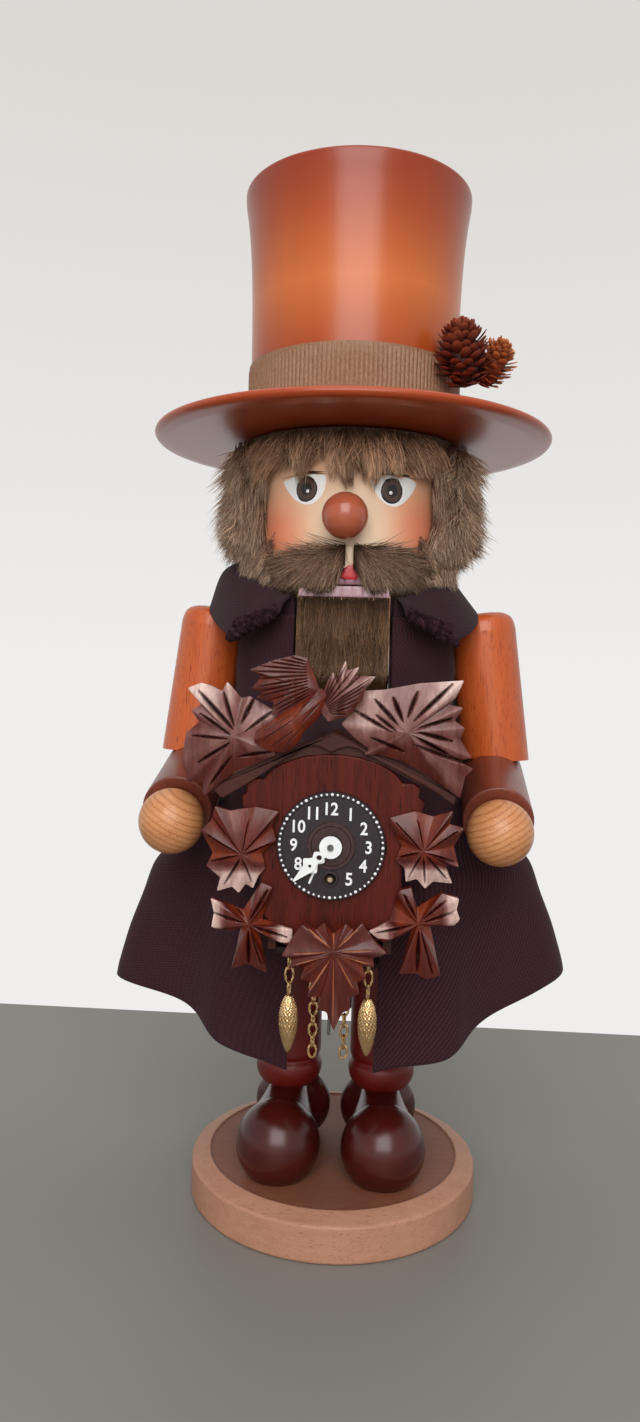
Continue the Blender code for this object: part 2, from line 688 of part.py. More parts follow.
# Arms: an upper arm saddled on a sleeve that points forward, with a ball for a hand.
CLOTH_OUT = CLOTH_GAP + CLOTH_THICKNESS / 2
ARM_SPREAD = TORSO_RADIUS + CLOTH_OUT + ARM_RADIUS - SHOULDER_TUCK
SHOULDER_TOP = SHOULDER_HEIGHT + ARM_RISE
ELBOW = Vector((ARM_SPREAD + ELBOW_OUT, ELBOW_BACK, SHOULDER_TOP - ARM_DROP))
SHOULDER_DOWEL_HEIGHT = SHOULDER_HEIGHT - SHOULDER_DOWEL_DROP
ARM_PROFILE = [
    (0, 0),
    (6 * MM, 0),
    (ARM_RADIUS - 4.5 * MM, -0.8 * MM),
    (ARM_RADIUS - 1.4 * MM, -3 * MM),
    (ARM_RADIUS, -7.5 * MM),
    (ARM_RADIUS, -ARM_DROP),
    (0, -ARM_DROP),
]
for side, sign in sides():
    mirror = Vector((sign, 1, 1))
    elbow = ELBOW * mirror
    wrist = elbow + Vector((-SLEEVE_IN, -SLEEVE_FORWARD, -SLEEVE_FALL)) * mirror
    along = (wrist - elbow).normalized()
    reach = (wrist - elbow).length
    sleeve_profile = [
        (0, reach),
        (FOREARM_RADIUS - 1 * MM, reach),
        (FOREARM_RADIUS, reach - 1 * MM),
        (FOREARM_RADIUS, -2 * MM),
        (FOREARM_RADIUS - 4 * MM, -6 * MM),
        (0, -7 * MM),
    ]
    sleeve = turned("forearm_" + side, sleeve_profile, SLEEVE, elbow, along, 24)
    shoulder = Vector((sign * ARM_SPREAD, 0, SHOULDER_TOP))
    up = Vector((-sign * sin(ARM_TILT), 0, cos(ARM_TILT)))
    arm = turned("upper_arm_" + side, ARM_PROFILE, ARM_STAIN, shoulder, up, 24)
    saddle_ends = (elbow - along * 3 * ARM_RADIUS, wrist)
    saddle = rod("saddle_" + side, *saddle_ends, FOREARM_RADIUS + FIT, None, 24)
    boolean(arm, saddle, "DIFFERENCE")
    below = block(
        "below_" + side,
        elbow + Vector((-3, -4, -5)) * ARM_RADIUS,
        elbow + Vector((3, 2, 0.5)) * ARM_RADIUS,
        None,
    )
    boolean(arm, below, "DIFFERENCE")
    hand_at = wrist + along * (HAND_RADIUS + FIT)
    hand_profile = ball_points(HAND_RADIUS, 0, 0, radians(165), 9)
    hand_profile[0] = (0, HAND_RADIUS)
    peg_tip = -HAND_RADIUS - WRIST_PEG_LENGTH
    hand_profile += [(WRIST_PEG_RADIUS, -HAND_RADIUS), (WRIST_PEG_RADIUS, peg_tip), (0, peg_tip)]
    turned("hand_" + side, hand_profile, BEECH, hand_at, along, 16)
    peg_hole_end = wrist - along * (WRIST_PEG_LENGTH + FIT)
    drill(sleeve, wrist + along * 5 * MM, peg_hole_end, WRIST_PEG_RADIUS + FIT, 16)
    inner = (sign * (TORSO_RADIUS - 11 * MM), 0, SHOULDER_DOWEL_HEIGHT)
    outer = (sign * (ARM_SPREAD + 4 * MM), 0, SHOULDER_DOWEL_HEIGHT)
    rod("shoulder_dowel_" + side, inner, outer, SHOULDER_DOWEL_RADIUS, BEECH, 16)
    hole_in = (inner[0] - sign * FIT, 0, SHOULDER_DOWEL_HEIGHT)
    hole_out = (outer[0] + sign * FIT, 0, SHOULDER_DOWEL_HEIGHT)
    for piece in (body, arm):
        drill(piece, hole_in, hole_out, SHOULDER_DOWEL_RADIUS + FIT, 16)

# Coat: one sleeveless sheet open down the front, with armholes and a back slit for the handle.
HEM_OUT = [
    (0, 9),
    (25, 13),
    (44, 24),
    (64, 35),
    (80, 50),
    (100, 52),
    (125, 43),
    (150, 27),
    (180, 17),
]
HEM_LEFT = [(0, 39), (25, 38), (44, 32), (64, 23), (80, 15), (100, 14), (125, 24), (150, 34), (180, 37)]
HEM_RIGHT = [(0, 39), (25, 37), (44, 29), (64, 17), (80, 2), (100, 2), (125, 20), (150, 33), (180, 37)]
EARLY_FLARE = [(0, 0), (0.2, 0.2), (0.4, 0.46), (0.6, 0.68), (0.8, 0.86), (1, 1)]
LATE_FLARE = [(0, 0), (0.3, 0.08), (0.45, 0.4), (0.6, 0.62), (0.8, 0.84), (1, 1)]
COAT_TOP = SHOULDER_HEIGHT + COAT_RISE
COAT_WAIST = SHOULDER_HEIGHT - COAT_WAIST_DROP
TOP_ROWS = [
    (COAT_TOP, NECK_RADIUS),
    (SHOULDER_HEIGHT + 9 * MM, TORSO_RADIUS - 3 * MM),
    (SHOULDER_HEIGHT - 2 * MM, TORSO_RADIUS),
    (SHOULDER_HEIGHT - 8 * MM, TORSO_RADIUS),
    (SHOULDER_HEIGHT - 20 * MM, TORSO_RADIUS),
    (COAT_WAIST, TORSO_RADIUS),
]
FLARE_ROWS = [0.1, 0.22, 0.34, 0.46, 0.58, 0.72, 0.86, 1.0]
COAT_COLUMNS = 40


def coat_point(turn, row):
    """A point of the coat's middle surface; turn runs from -1 to 1 with 0 at the back."""
    if row < len(TOP_ROWS):
        height, radius = TOP_ROWS[row]
        drop = 0.0
    else:
        height, radius = TOP_ROWS[-1]
        drop = FLARE_ROWS[row - len(TOP_ROWS)]
    radius = radius + CLOTH_GAP
    gap = COAT_GAP_TOP + (COAT_GAP_HEM - COAT_GAP_TOP) * drop
    edge = asin(gap / 2 / (radius + 8 * MM * drop))
    off_front = pi - abs(turn) * (pi - edge)
    degrees = off_front * 180 / pi
    early = ramp(degrees, [(0, 0), (108, 0), (132, 1), (180, 1)])
    flare = ramp(drop, EARLY_FLARE) * early + ramp(drop, LATE_FLARE) * (1 - early)
    hem = TORSO_RADIUS + ramp(degrees, HEM_OUT) * MM
    low = TORSO_BOTTOM - ramp(degrees, HEM_LEFT if turn < 0 else HEM_RIGHT) * MM
    ripple = 2.2 * MM * drop**2 * cos(9 * off_front) * (1 if degrees > 30 else 0.3)
    r = radius + (hem - radius) * flare + ripple
    z = height + (low - height) * drop
    side = -1 if turn < 0 else 1
    return (side * r * sin(off_front), -r * cos(off_front), z)


def coat_open(column, row):
    """True for the cells left out: the armholes and the slit behind the handle."""
    middle = abs((column + 0.5) * 2 / COAT_COLUMNS - 1)
    armhole = row in (1, 2) and abs(middle - 0.59) < 0.06
    slit = 1 <= row <= 5 and middle < 0.198
    return armhole or slit


def coat_sheet():
    """The coat as a closed cloth of even thickness."""
    rows = len(TOP_ROWS) + len(FLARE_ROWS)
    points = []
    for row in range(rows):
        for column in range(COAT_COLUMNS + 1):
            points.append(coat_point(column * 2 / COAT_COLUMNS - 1, row))
    faces = []
    for row in range(rows - 1):
        for column in range(COAT_COLUMNS):
            if coat_open(column, row):
                continue
            a = row * (COAT_COLUMNS + 1) + column
            b = a + COAT_COLUMNS + 1
            faces.append((a, b, b + 1, a + 1))
    mesh = bpy.data.meshes.new("coat")
    mesh.from_pydata(points, [], faces)
    work = bmesh.new()
    work.from_mesh(mesh)
    loose = [vertex for vertex in work.verts if not vertex.link_faces]
    bmesh.ops.delete(work, geom=loose, context="VERTS")
    work.to_mesh(mesh)
    work.free()
    obj = add("coat", mesh, CLOTH)
    thick = obj.modifiers.new("cloth", "SOLIDIFY")
    thick.thickness = CLOTH_THICKNESS
    thick.offset = 0
    for face in mesh.polygons:
        face.use_smooth = True
    return obj


coat_sheet()

# Collar: a band standing round the neck, folded over and down to two points in front.
COLLAR_FRONT = 29
COLLAR_FALL = [(29, 14.5), (45, 10.5), (75, 2.5), (100, 0), (180, 0)]
COLLAR_TIPS = [(29, 4), (36, -1), (46, -7), (58, 0), (75, 10), (100, 12), (180, 8)]
COLLAR_OUT = [(29, 11), (36, 17), (46, 21), (58, 20), (75, 18), (100, 16), (180, 15)]


def collar_section(angle):
    """Stand, fold and fall as one strip of cloth thickness."""
    degrees = abs(angle) * 180 / pi
    degrees = min(degrees, 360 - degrees)
    top = HAIR_BOTTOM - COLLAR_DROP - ramp(degrees, COLLAR_FALL) * MM
    low = COAT_TOP + ramp(degrees, COLLAR_TIPS) * MM
    out = HEAD_RADIUS + ramp(degrees, COLLAR_OUT) * MM
    foot = COAT_TOP + 1.2 * MM
    inner = HEAD_RADIUS + 2 * FIT
    cloth = CLOTH_THICKNESS
    fold = inner + 2.4 * cloth
    return [
        (inner, top - 2 * MM),
        (inner + 1.2 * cloth, top),
        (fold + 0.3 * cloth, top - 0.6 * MM),
        (out, low + 1 * MM),
        (out - 0.6 * cloth, low),
        (fold - 0.6 * cloth, top - 3.2 * MM),
        (inner + cloth, top - 4 * MM),
        (inner + cloth, foot),
        (inner, foot),
    ]


swept("collar", spread(COLLAR_FRONT, 360 - COLLAR_FRONT, 37), collar_section, CLOTH)

# Clock case: a box open below and behind, held off the torso by a block.
CASE_BACK = -(TORSO_RADIUS + MOUNT_BLOCK_DEPTH + 2 * FIT)
CASE_FRONT = CASE_BACK - CASE_DEPTH
FRONT_BACK = CASE_FRONT - FIT
FRONT_FACE = FRONT_BACK - FRONT_THICKNESS
LEAF_BACK = FRONT_FACE - FIT
LEAF_FACE = LEAF_BACK - LEAF_THICKNESS
UPPER_BACK = LEAF_FACE - FIT
CASE_HALF = CASE_WIDTH / 2
CASE_TOP = DIAL_HEIGHT + CASE_RISE
CASE_BOTTOM = DIAL_HEIGHT - CASE_DROP
block(
    "clock_mount_block",
    (-MOUNT_BLOCK_SIZE / 2, CASE_BACK + FIT, DIAL_HEIGHT - MOUNT_BLOCK_SIZE / 2),
    (MOUNT_BLOCK_SIZE / 2, -TORSO_RADIUS - FIT, DIAL_HEIGHT + MOUNT_BLOCK_SIZE / 2),
    BEECH,
)
INNER_HALF = CASE_HALF - CASE_WALL
CASE_OUTLINE = [
    (-CASE_HALF, CASE_BOTTOM),
    (-CASE_HALF, CASE_TOP),
    (CASE_HALF, CASE_TOP),
    (CASE_HALF, CASE_BOTTOM),
    (INNER_HALF, CASE_BOTTOM),
    (INNER_HALF, CASE_TOP - CASE_WALL),
    (-INNER_HALF, CASE_TOP - CASE_WALL),
    (-INNER_HALF, CASE_BOTTOM),
]
case = prism_y("clock_case", CASE_OUTLINE, CASE_FRONT, CASE_BACK - CASE_WALL, CARVED)
back_board = block(
    "case_back",
    (-CASE_HALF, CASE_BACK - CASE_WALL - 1 * MM, DIAL_HEIGHT - WINDING_DROP - 4 * MM),
    (CASE_HALF, CASE_BACK, CASE_TOP),
    None,
)
boolean(case, back_board, "UNION")


def arch(half_width, low, shoulder, top, count=9):
    """A plate outline with a round-arched top."""
    outline = [(-half_width, low)]
    for i in range(count):
        a = pi * (1 - i / (count - 1))
        outline.append((half_width * cos(a), shoulder + (top - shoulder) * sin(a)))
    outline.append((half_width, low))
    return outline


FRONT_HALF = FRONT_WIDTH / 2
FRONT_TOP = DIAL_HEIGHT + FRONT_RISE
FRONT_BOTTOM = DIAL_HEIGHT - FRONT_DROP
ARCH_FOOT = FRONT_TOP - ARCH_RISE
front = prism_y(
    "clock_front",
    arch(FRONT_HALF, FRONT_BOTTOM, ARCH_FOOT, FRONT_TOP),
    FRONT_FACE,
    FRONT_BACK,
    CARVED,
)
ROOF_APEX = FRONT_TOP + ROOF_RISE
ROOF_LOW = ROOF_APEX - ROOF_DROP
EAVE = FRONT_HALF + ROOF_OVERHANG
ROOF_SEAT = arch(FRONT_HALF, 0, ARCH_FOOT + FIT, FRONT_TOP + FIT)[3:8]
ROOF_OUTLINE = [
    (-EAVE, ROOF_LOW),
    (0, ROOF_APEX),
    (EAVE, ROOF_LOW),
    (EAVE, ROOF_LOW - ROOF_THICKNESS),
    (FRONT_HALF + 2 * MM, ARCH_FOOT + 4.6 * MM),
    *reversed(ROOF_SEAT),
    (-FRONT_HALF - 2 * MM, ARCH_FOOT + 4.6 * MM),
    (-EAVE, ROOF_LOW - ROOF_THICKNESS),
]
prism_y("clock_roof", ROOF_OUTLINE, FRONT_FACE, CASE_BACK, CARVED)


def leaf(name, centre, lobes, back, thickness=LEAF_THICKNESS, mirror=1):
    """A carved leaf about a centre; each lobe is (degrees from +X, reach in mm, notch in mm)."""
    outline = []
    for i, (angle, reach, notch) in enumerate(lobes):
        following = lobes[(i + 1) % len(lobes)]
        gap = (following[0] - angle) % 360
        for turn, length in ((-0.12, 0.8), (0, 1.0), (0.12, 0.8)):
            a = radians(angle + turn * gap)
            outline.append((reach * length * cos(a), reach * length * sin(a)))
        a = radians(angle + gap / 2)
        outline.append((notch * cos(a), notch * sin(a)))
    placed = [(mirror * (centre[0] + x * MM), centre[1] + z * MM) for x, z in outline]
    return prism_y(name, placed, back - thickness, back, CARVED)


# Leaves: two on the roof, two beside the dial, two below and one hanging from the front.
TOP_LEAF = [
    (20, 15, 11),
    (62, 17, 12),
    (98, 20, 14),
    (140, 25, 16),
    (178, 20, 15),
    (205, 22, 17),
    (229, 26, 12),
    (330, 17, 11),
]
SIDE_LEAF = [
    (52, 18.5, 12),
    (84, 17.5, 12),
    (128, 18.5, 13),
    (150, 18, 10),
    (194, 14.5, 9),
    (232, 16, 10),
    (270, 12.5, 9),
    (330, 13.5, 9),
    (15, 12, 9),
]
LOWER_LEAF = [
    (95, 9.5, 6),
    (155, 14.5, 10),
    (190, 14.5, 5),
    (252, 18, 12),
    (290, 19, 6),
    (328, 16, 12),
    (352, 15, 6),
]
BOTTOM_LEAF = [
    (90, 8, 8),
    (125, 14, 10),
    (158, 18, 12),
    (190, 18.5, 12),
    (222, 19, 13),
    (270, 27, 13),
    (318, 19, 12),
    (350, 18.5, 12),
    (22, 18, 10),
    (55, 14, 8),
]
TOP_LEAF_AT = (-FRONT_HALF - 6.5 * MM, FRONT_TOP + 7 * MM)
SIDE_LEAF_AT = (-DIAL_RADIUS - 13.6 * MM, DIAL_HEIGHT - 4.6 * MM)
LOWER_LEAF_AT = (-FRONT_HALF - 5 * MM, FRONT_BOTTOM + 15.5 * MM)
BOTTOM_LEAF_AT = (1 * MM, FRONT_BOTTOM + 4.5 * MM)
for side, sign in sides():
    leaf("leaf_top_" + side, TOP_LEAF_AT, TOP_LEAF, LEAF_BACK, mirror=-sign)
    leaf("leaf_side_" + side, SIDE_LEAF_AT, SIDE_LEAF, LEAF_BACK, mirror=-sign)
    leaf("leaf_lower_" + side, LOWER_LEAF_AT, LOWER_LEAF, LEAF_BACK, mirror=-sign)
bottom_leaf = leaf("leaf_bottom", BOTTOM_LEAF_AT, BOTTOM_LEAF, UPPER_BACK)
backing = block(
    "leaf_backing",
    (BOTTOM_LEAF_AT[0] - BACKING_WIDTH / 2, UPPER_BACK - 1 * MM, FRONT_BOTTOM),
    (BOTTOM_LEAF_AT[0] + BACKING_WIDTH / 2, LEAF_BACK, FRONT_BOTTOM + BACKING_HEIGHT),
    None,
)
boolean(bottom_leaf, backing, "UNION")

# Bird: body, spread wing and tail carved from one piece above the dial.
BIRD_OUTLINE = [
    (-27, 2),
    (-28.5, 6),
    (-24, 12),
    (-29, 19),
    (-26, 21.5),
    (-30, 28),
    (-25, 31),
    (-18, 34),
    (-10, 35.5),
    (-4, 31),
    (-1, 23),
    (3, 21),
    (9, 29),
    (15, 34),
    (15.5, 25),
    (11, 17),
    (4, 10),
    (-6, 3),
    (-14, -1.5),
    (-21, -2),
]
bird_outline = [(x * MM, FRONT_TOP + z * MM) for x, z in BIRD_OUTLINE]
prism_y("bird", bird_outline, UPPER_BACK - BIRD_THICKNESS, UPPER_BACK, CARVED)

# Dial with its raised rim, and the two hands on their arbors.
DIAL_BACK = FRONT_FACE - FIT
DIAL_FACE = DIAL_BACK - DIAL_THICKNESS
dial = turned(
    "clock_dial",
    [
        (0, DIAL_THICKNESS),
        (6.6 * MM, DIAL_THICKNESS),
        (7 * MM, DIAL_THICKNESS + 0.3 * MM),
        (8 * MM, DIAL_THICKNESS + 0.3 * MM),
        (8.4 * MM, DIAL_THICKNESS),
        (DIAL_RADIUS - 1.6 * MM, DIAL_THICKNESS),
        (DIAL_RADIUS - 1.2 * MM, DIAL_THICKNESS + 0.4 * MM),
        (DIAL_RADIUS - 0.4 * MM, DIAL_THICKNESS + 0.4 * MM),
        (DIAL_RADIUS, DIAL_THICKNESS),
        (DIAL_RADIUS, 0),
        (0, 0),
    ],
    DIAL_BLACK,
    (0, DIAL_BACK, DIAL_HEIGHT),
    (0, -1, 0),
    28,
)
WINDING_HEIGHT = DIAL_HEIGHT - WINDING_DROP
HOUR_BACK = DIAL_FACE - HAND_LIFT
MINUTE_BACK = HOUR_BACK - HAND_THICKNESS - FIT
for piece in (dial, front):
    through = ((0, DIAL_FACE - 10 * MM, DIAL_HEIGHT), (0, FRONT_BACK + 1 * MM, DIAL_HEIGHT))
    drill(piece, *through, HOUR_TUBE_RADIUS + FIT)
    through = ((0, DIAL_FACE - 10 * MM, WINDING_HEIGHT), (0, FRONT_BACK + 1 * MM, WINDING_HEIGHT))
    drill(piece, *through, WINDING_RADIUS + FIT)


def clock_hand(name, reach, width, hub, back, bore):
    """A leaf-shaped hand with a round hub, drilled for its arbor."""
    outline = []
    for i in range(13):
        a = radians(35) + radians(290) * i / 12
        outline.append((hub * sin(a), hub * cos(a)))
    outline += [(-0.3 * width, 0.5 * reach), (-width, 0.62 * reach), (0, reach)]
    outline += [(width, 0.62 * reach), (0.3 * width, 0.5 * reach)]
    turn = HAND_DIRECTION
    placed = []
    for across, along in outline:
        x = across * cos(turn) + along * sin(turn)
        z = along * cos(turn) - across * sin(turn)
        placed.append((x, DIAL_HEIGHT + z))
    hand = prism_y(name, placed, back - HAND_THICKNESS, back, WHITE)
    drill(hand, (0, back - 10 * MM, DIAL_HEIGHT), (0, back + 1 * MM, DIAL_HEIGHT), bore)
    return hand


clock_hand("hour_hand", HOUR_REACH, 2.2 * MM, HUB_RADIUS - 0.4 * MM, HOUR_BACK, HOUR_TUBE_RADIUS + RUNNING)
clock_hand("minute_hand", MINUTE_REACH, 2.0 * MM, HUB_RADIUS, MINUTE_BACK, ARBOR_RADIUS + RUNNING)

# Movement inside the case: two plates on pillars, the going arbor, hour wheel and mainspring.
PLATE_WIDTH = 2 * (INNER_HALF - FIT)
PLATE_TOP = DIAL_HEIGHT + PLATE_RISE
PLATE_BOTTOM = DIAL_HEIGHT - PLATE_DROP
PLATE_FRONT = CASE_FRONT + 2.4 * MM
PLATE_REAR = PLATE_FRONT + PLATE_THICKNESS + PLATE_GAP
plates = block(
    "movement_plates",
    (-PLATE_WIDTH / 2, PLATE_FRONT, PLATE_BOTTOM),
    (PLATE_WIDTH / 2, PLATE_REAR + PLATE_THICKNESS, PLATE_TOP),
    STEEL,
)
window = block(
    "plate_window",
    (-PLATE_WIDTH, PLATE_FRONT + PLATE_THICKNESS, PLATE_BOTTOM + 2 * MM),
    (PLATE_WIDTH, PLATE_REAR, PLATE_TOP - 2 * MM),
    None,
)
boolean(plates, window, "DIFFERENCE")
foot_cut = block(
    "plate_foot_cut",
    (-PLATE_WIDTH, PLATE_FRONT - 5 * MM, PLATE_BOTTOM + 2.2 * MM),
    (PLATE_WIDTH, PLATE_FRONT + PLATE_THICKNESS + 1 * MM, PLATE_BOTTOM + 12 * MM),
    None,
)
boolean(plates, foot_cut, "DIFFERENCE")
ARBOR_FRONT = MINUTE_BACK - HAND_THICKNESS - 0.8 * MM
ARBOR_REAR = PLATE_REAR + PLATE_THICKNESS + 0.8 * MM
arbor_line = ((0, ARBOR_REAR, DIAL_HEIGHT), (0, ARBOR_FRONT, DIAL_HEIGHT))
rod("minute_arbor", *arbor_line, ARBOR_RADIUS, STEEL, 20)
plate_ends = (PLATE_FRONT - 5 * MM, PLATE_REAR + 5 * MM)
drill(plates, *[(0, y, DIAL_HEIGHT) for y in plate_ends], ARBOR_RADIUS + RUNNING)
TUBE_FRONT = HOUR_BACK - HAND_THICKNESS
WHEEL_BACK = PLATE_FRONT - FIT
wheel_length = WHEEL_BACK - TUBE_FRONT
tube_bore = ARBOR_RADIUS + RUNNING
turned(
    "hour_wheel",
    [
        (HOUR_TUBE_RADIUS, wheel_length),
        (HOUR_TUBE_RADIUS, 1.2 * MM),
        (6 * MM, 1.2 * MM),
        (6 * MM, 0),
        (tube_bore, 0),
        (tube_bore, wheel_length),
    ],
    BRASS,
    (0, WHEEL_BACK, DIAL_HEIGHT),
    (0, -1, 0),
    20,
    ring=True,
)
winding_line = ((0, ARBOR_REAR, WINDING_HEIGHT), (0, HOUR_BACK + FIT, WINDING_HEIGHT))
rod("winding_arbor", *winding_line, WINDING_RADIUS, BRASS, 20)
drill(plates, *[(0, y, WINDING_HEIGHT) for y in plate_ends], WINDING_RADIUS + RUNNING)
barrel_low = PLATE_FRONT + PLATE_THICKNESS + FIT
barrel_high = PLATE_REAR - FIT
barrel_bore = WINDING_RADIUS + RUNNING
turned(
    "mainspring_barrel",
    [
        (BARREL_RADIUS, barrel_high),
        (BARREL_RADIUS, barrel_low),
        (barrel_bore, barrel_low),
        (barrel_bore, barrel_high),
    ],
    BRASS,
    (0, 0, WINDING_HEIGHT),
    (0, 1, 0),
    20,
    ring=True,
)

# Pendulum: a wire that hangs behind the movement, with a loop at the top and a small bob.
PENDULUM_Y = (PLATE_REAR + PLATE_THICKNESS + CASE_BACK - CASE_WALL) / 2
PENDULUM_TOP = DIAL_HEIGHT - PENDULUM_DROP
PENDULUM_BOTTOM = PENDULUM_TOP - PENDULUM_LENGTH
bob_height = PENDULUM_TOP - BOB_DROP
turned(
    "pendulum",
    [
        (0, PENDULUM_TOP),
        (PENDULUM_RADIUS, PENDULUM_TOP),
        (PENDULUM_RADIUS, bob_height + 5 * MM),
        (BOB_RADIUS, bob_height + 4 * MM),
        (BOB_RADIUS, bob_height - 4 * MM),
        (PENDULUM_RADIUS, bob_height - 5 * MM),
        (PENDULUM_RADIUS, PENDULUM_BOTTOM),
        (0, PENDULUM_BOTTOM),
    ],
    STEEL,
    (0, PENDULUM_Y, 0),
    steps=10,
)


def chain(name, x, y, top, bottom, links):
    """A straight chain as a string of links fused end to end."""
    pitch = (top - bottom) / links
    profile = [(0, top)]
    for i in range(links):
        start = top - i * pitch
        profile.append((0.62 * CHAIN_RADIUS, start - 0.04 * pitch))
        profile.append((CHAIN_RADIUS, start - 0.35 * pitch))
        profile.append((CHAIN_RADIUS, start - 0.65 * pitch))
        profile.append((0.62 * CHAIN_RADIUS, start - 0.96 * pitch))
    profile.append((0, bottom))
    return turned(name, profile, BRASS, (x, y, 0), steps=7)


# Weights: brass cones on short chains, and the loose tails of the two chains.
CHAIN_Y = PLATE_FRONT + 1.2 * MM
CHAIN_TOP = PLATE_BOTTOM - 2 * FIT
WEIGHT_TOP = CHAIN_TOP - CHAIN_LENGTH - FIT
TAIL_BOTTOM = CHAIN_TOP - TAIL_LENGTH
TAIL_Y = PLATE_REAR - 1 * MM
WEIGHT_PROFILE = [(0, WEIGHT_TOP)]
for share, width in (
    (0.02, 0.35),
    (0.12, 0.68),
    (0.28, 0.94),
    (0.45, 1.0),
    (0.62, 0.9),
    (0.8, 0.62),
    (0.94, 0.3),
):
    WEIGHT_PROFILE.append((width * WEIGHT_RADIUS, WEIGHT_TOP - share * WEIGHT_LENGTH))
WEIGHT_PROFILE.append((0, WEIGHT_TOP - WEIGHT_LENGTH))
for side, sign in sides():
    x = sign * WEIGHT_SPREAD
    chain("chain_" + side, x, CHAIN_Y, CHAIN_TOP, WEIGHT_TOP + FIT, 3)
    turned("weight_" + side, WEIGHT_PROFILE, BRASS, (x, CHAIN_Y, 0), steps=14)
    chain("chain_tail_" + side, sign * TAIL_SPREAD, TAIL_Y, CHAIN_TOP, TAIL_BOTTOM, 7)
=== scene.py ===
import json
from math import radians

import bmesh
import bpy
import numpy as np
from mathutils import Matrix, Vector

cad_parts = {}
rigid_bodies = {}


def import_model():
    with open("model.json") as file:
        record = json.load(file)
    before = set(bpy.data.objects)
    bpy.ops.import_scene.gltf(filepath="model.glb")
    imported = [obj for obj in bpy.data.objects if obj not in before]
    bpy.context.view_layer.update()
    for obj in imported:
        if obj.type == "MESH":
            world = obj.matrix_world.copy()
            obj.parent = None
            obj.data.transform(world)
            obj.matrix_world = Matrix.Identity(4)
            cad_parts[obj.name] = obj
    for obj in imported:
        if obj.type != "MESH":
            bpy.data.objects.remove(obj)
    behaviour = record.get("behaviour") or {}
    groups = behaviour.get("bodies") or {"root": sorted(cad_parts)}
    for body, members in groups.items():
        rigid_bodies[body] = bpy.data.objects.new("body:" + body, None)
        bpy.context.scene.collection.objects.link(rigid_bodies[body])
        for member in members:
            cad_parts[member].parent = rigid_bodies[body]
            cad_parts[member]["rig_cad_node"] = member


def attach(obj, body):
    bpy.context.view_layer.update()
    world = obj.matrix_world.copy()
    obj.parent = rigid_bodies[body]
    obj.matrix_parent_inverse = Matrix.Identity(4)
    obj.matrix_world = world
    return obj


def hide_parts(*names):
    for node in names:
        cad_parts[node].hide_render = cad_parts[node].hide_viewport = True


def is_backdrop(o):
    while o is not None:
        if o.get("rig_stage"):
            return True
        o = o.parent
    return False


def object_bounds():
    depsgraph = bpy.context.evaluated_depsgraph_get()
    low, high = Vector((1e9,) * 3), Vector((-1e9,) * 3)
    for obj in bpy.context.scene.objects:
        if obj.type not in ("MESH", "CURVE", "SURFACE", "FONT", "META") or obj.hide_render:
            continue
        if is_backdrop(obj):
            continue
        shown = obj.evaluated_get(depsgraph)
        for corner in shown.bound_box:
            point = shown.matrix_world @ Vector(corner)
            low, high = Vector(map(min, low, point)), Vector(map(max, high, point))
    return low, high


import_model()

CAD_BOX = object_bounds()

# Studio: an off-white wall and a pale grey table, lit by a large soft window in front and above.
# A ceiling lamp and a low fill soften the shadows; the camera stands where the photograph was taken from.
MM = 0.001
TAU = 2 * np.pi
CAMERA_AT = np.array([18.85, -449.71, 236.4]) * MM
CAMERA_TURN = radians(3.8275)
CAMERA_DIP = radians(2.4701)
CAMERA_ROLL = radians(1.5402)
LENS = 25.316
SENSOR = 36
TABLE_EDGE = 0.213


def node(tree, kind, inputs=(), **properties):
    """Add a shader node; each input is given a value, or is linked when it is another node's output."""
    made = tree.nodes.new("ShaderNode" + kind)
    for name, value in properties.items():
        setattr(made, name, value)
    for name, value in dict(inputs).items():
        if isinstance(value, bpy.types.NodeSocket):
            tree.links.new(value, made.inputs[name])
        else:
            made.inputs[name].default_value = value
    return made


def srgb(red, green, blue):
    """Linear colour of a tint given from 0 to 255."""
    tint = np.array([red, green, blue]) / 255
    low = tint / 12.92
    high = ((tint + 0.055) / 1.055) ** 2.4
    return (*np.where(tint < 0.04045, low, high).tolist(), 1.0)


def mixed(tree, share, first, second, kind="MIX"):
    """Colour output that blends two colours by a share."""
    made = node(tree, "Mix", data_type="RGBA", blend_type=kind)
    for place, value in ((0, share), (6, first), (7, second)):
        if isinstance(value, bpy.types.NodeSocket):
            tree.links.new(value, made.inputs[place])
        else:
            made.inputs[place].default_value = value
    return made.outputs[2]


def ramp(tree, share, stops):
    """Colour output that runs through (position, colour) stops."""
    made = node(tree, "ValToRGB", {"Fac": share})
    elements = made.color_ramp.elements
    elements[0].position, elements[0].color = stops[0]
    elements[1].position, elements[1].color = stops[-1]
    for position, colour in stops[1:-1]:
        elements.new(position).color = colour
    return made.outputs["Color"]


def finish(name, roughness=0.4, specular=0.5, metallic=0.0, coat=0.0):
    """A new material with its node tree and its shader."""
    made = bpy.data.materials.new(name)
    made.use_nodes = True
    shader = made.node_tree.nodes["Principled BSDF"]
    shader.inputs["Roughness"].default_value = roughness
    shader.inputs["Specular IOR Level"].default_value = specular
    shader.inputs["Metallic"].default_value = metallic
    shader.inputs["Coat Weight"].default_value = coat
    return made, made.node_tree, shader


def grain(tree, stretch, scale, detail=4.0):
    """Noise over Object coordinates, drawn out where the stretch of an axis is small."""
    place = node(tree, "TexCoord").outputs["Object"]
    drawn = node(tree, "Mapping", {"Vector": place, "Scale": stretch})
    noise = node(tree, "TexNoise", {"Vector": drawn.outputs[0], "Scale": scale, "Detail": detail})
    return noise.outputs[0]


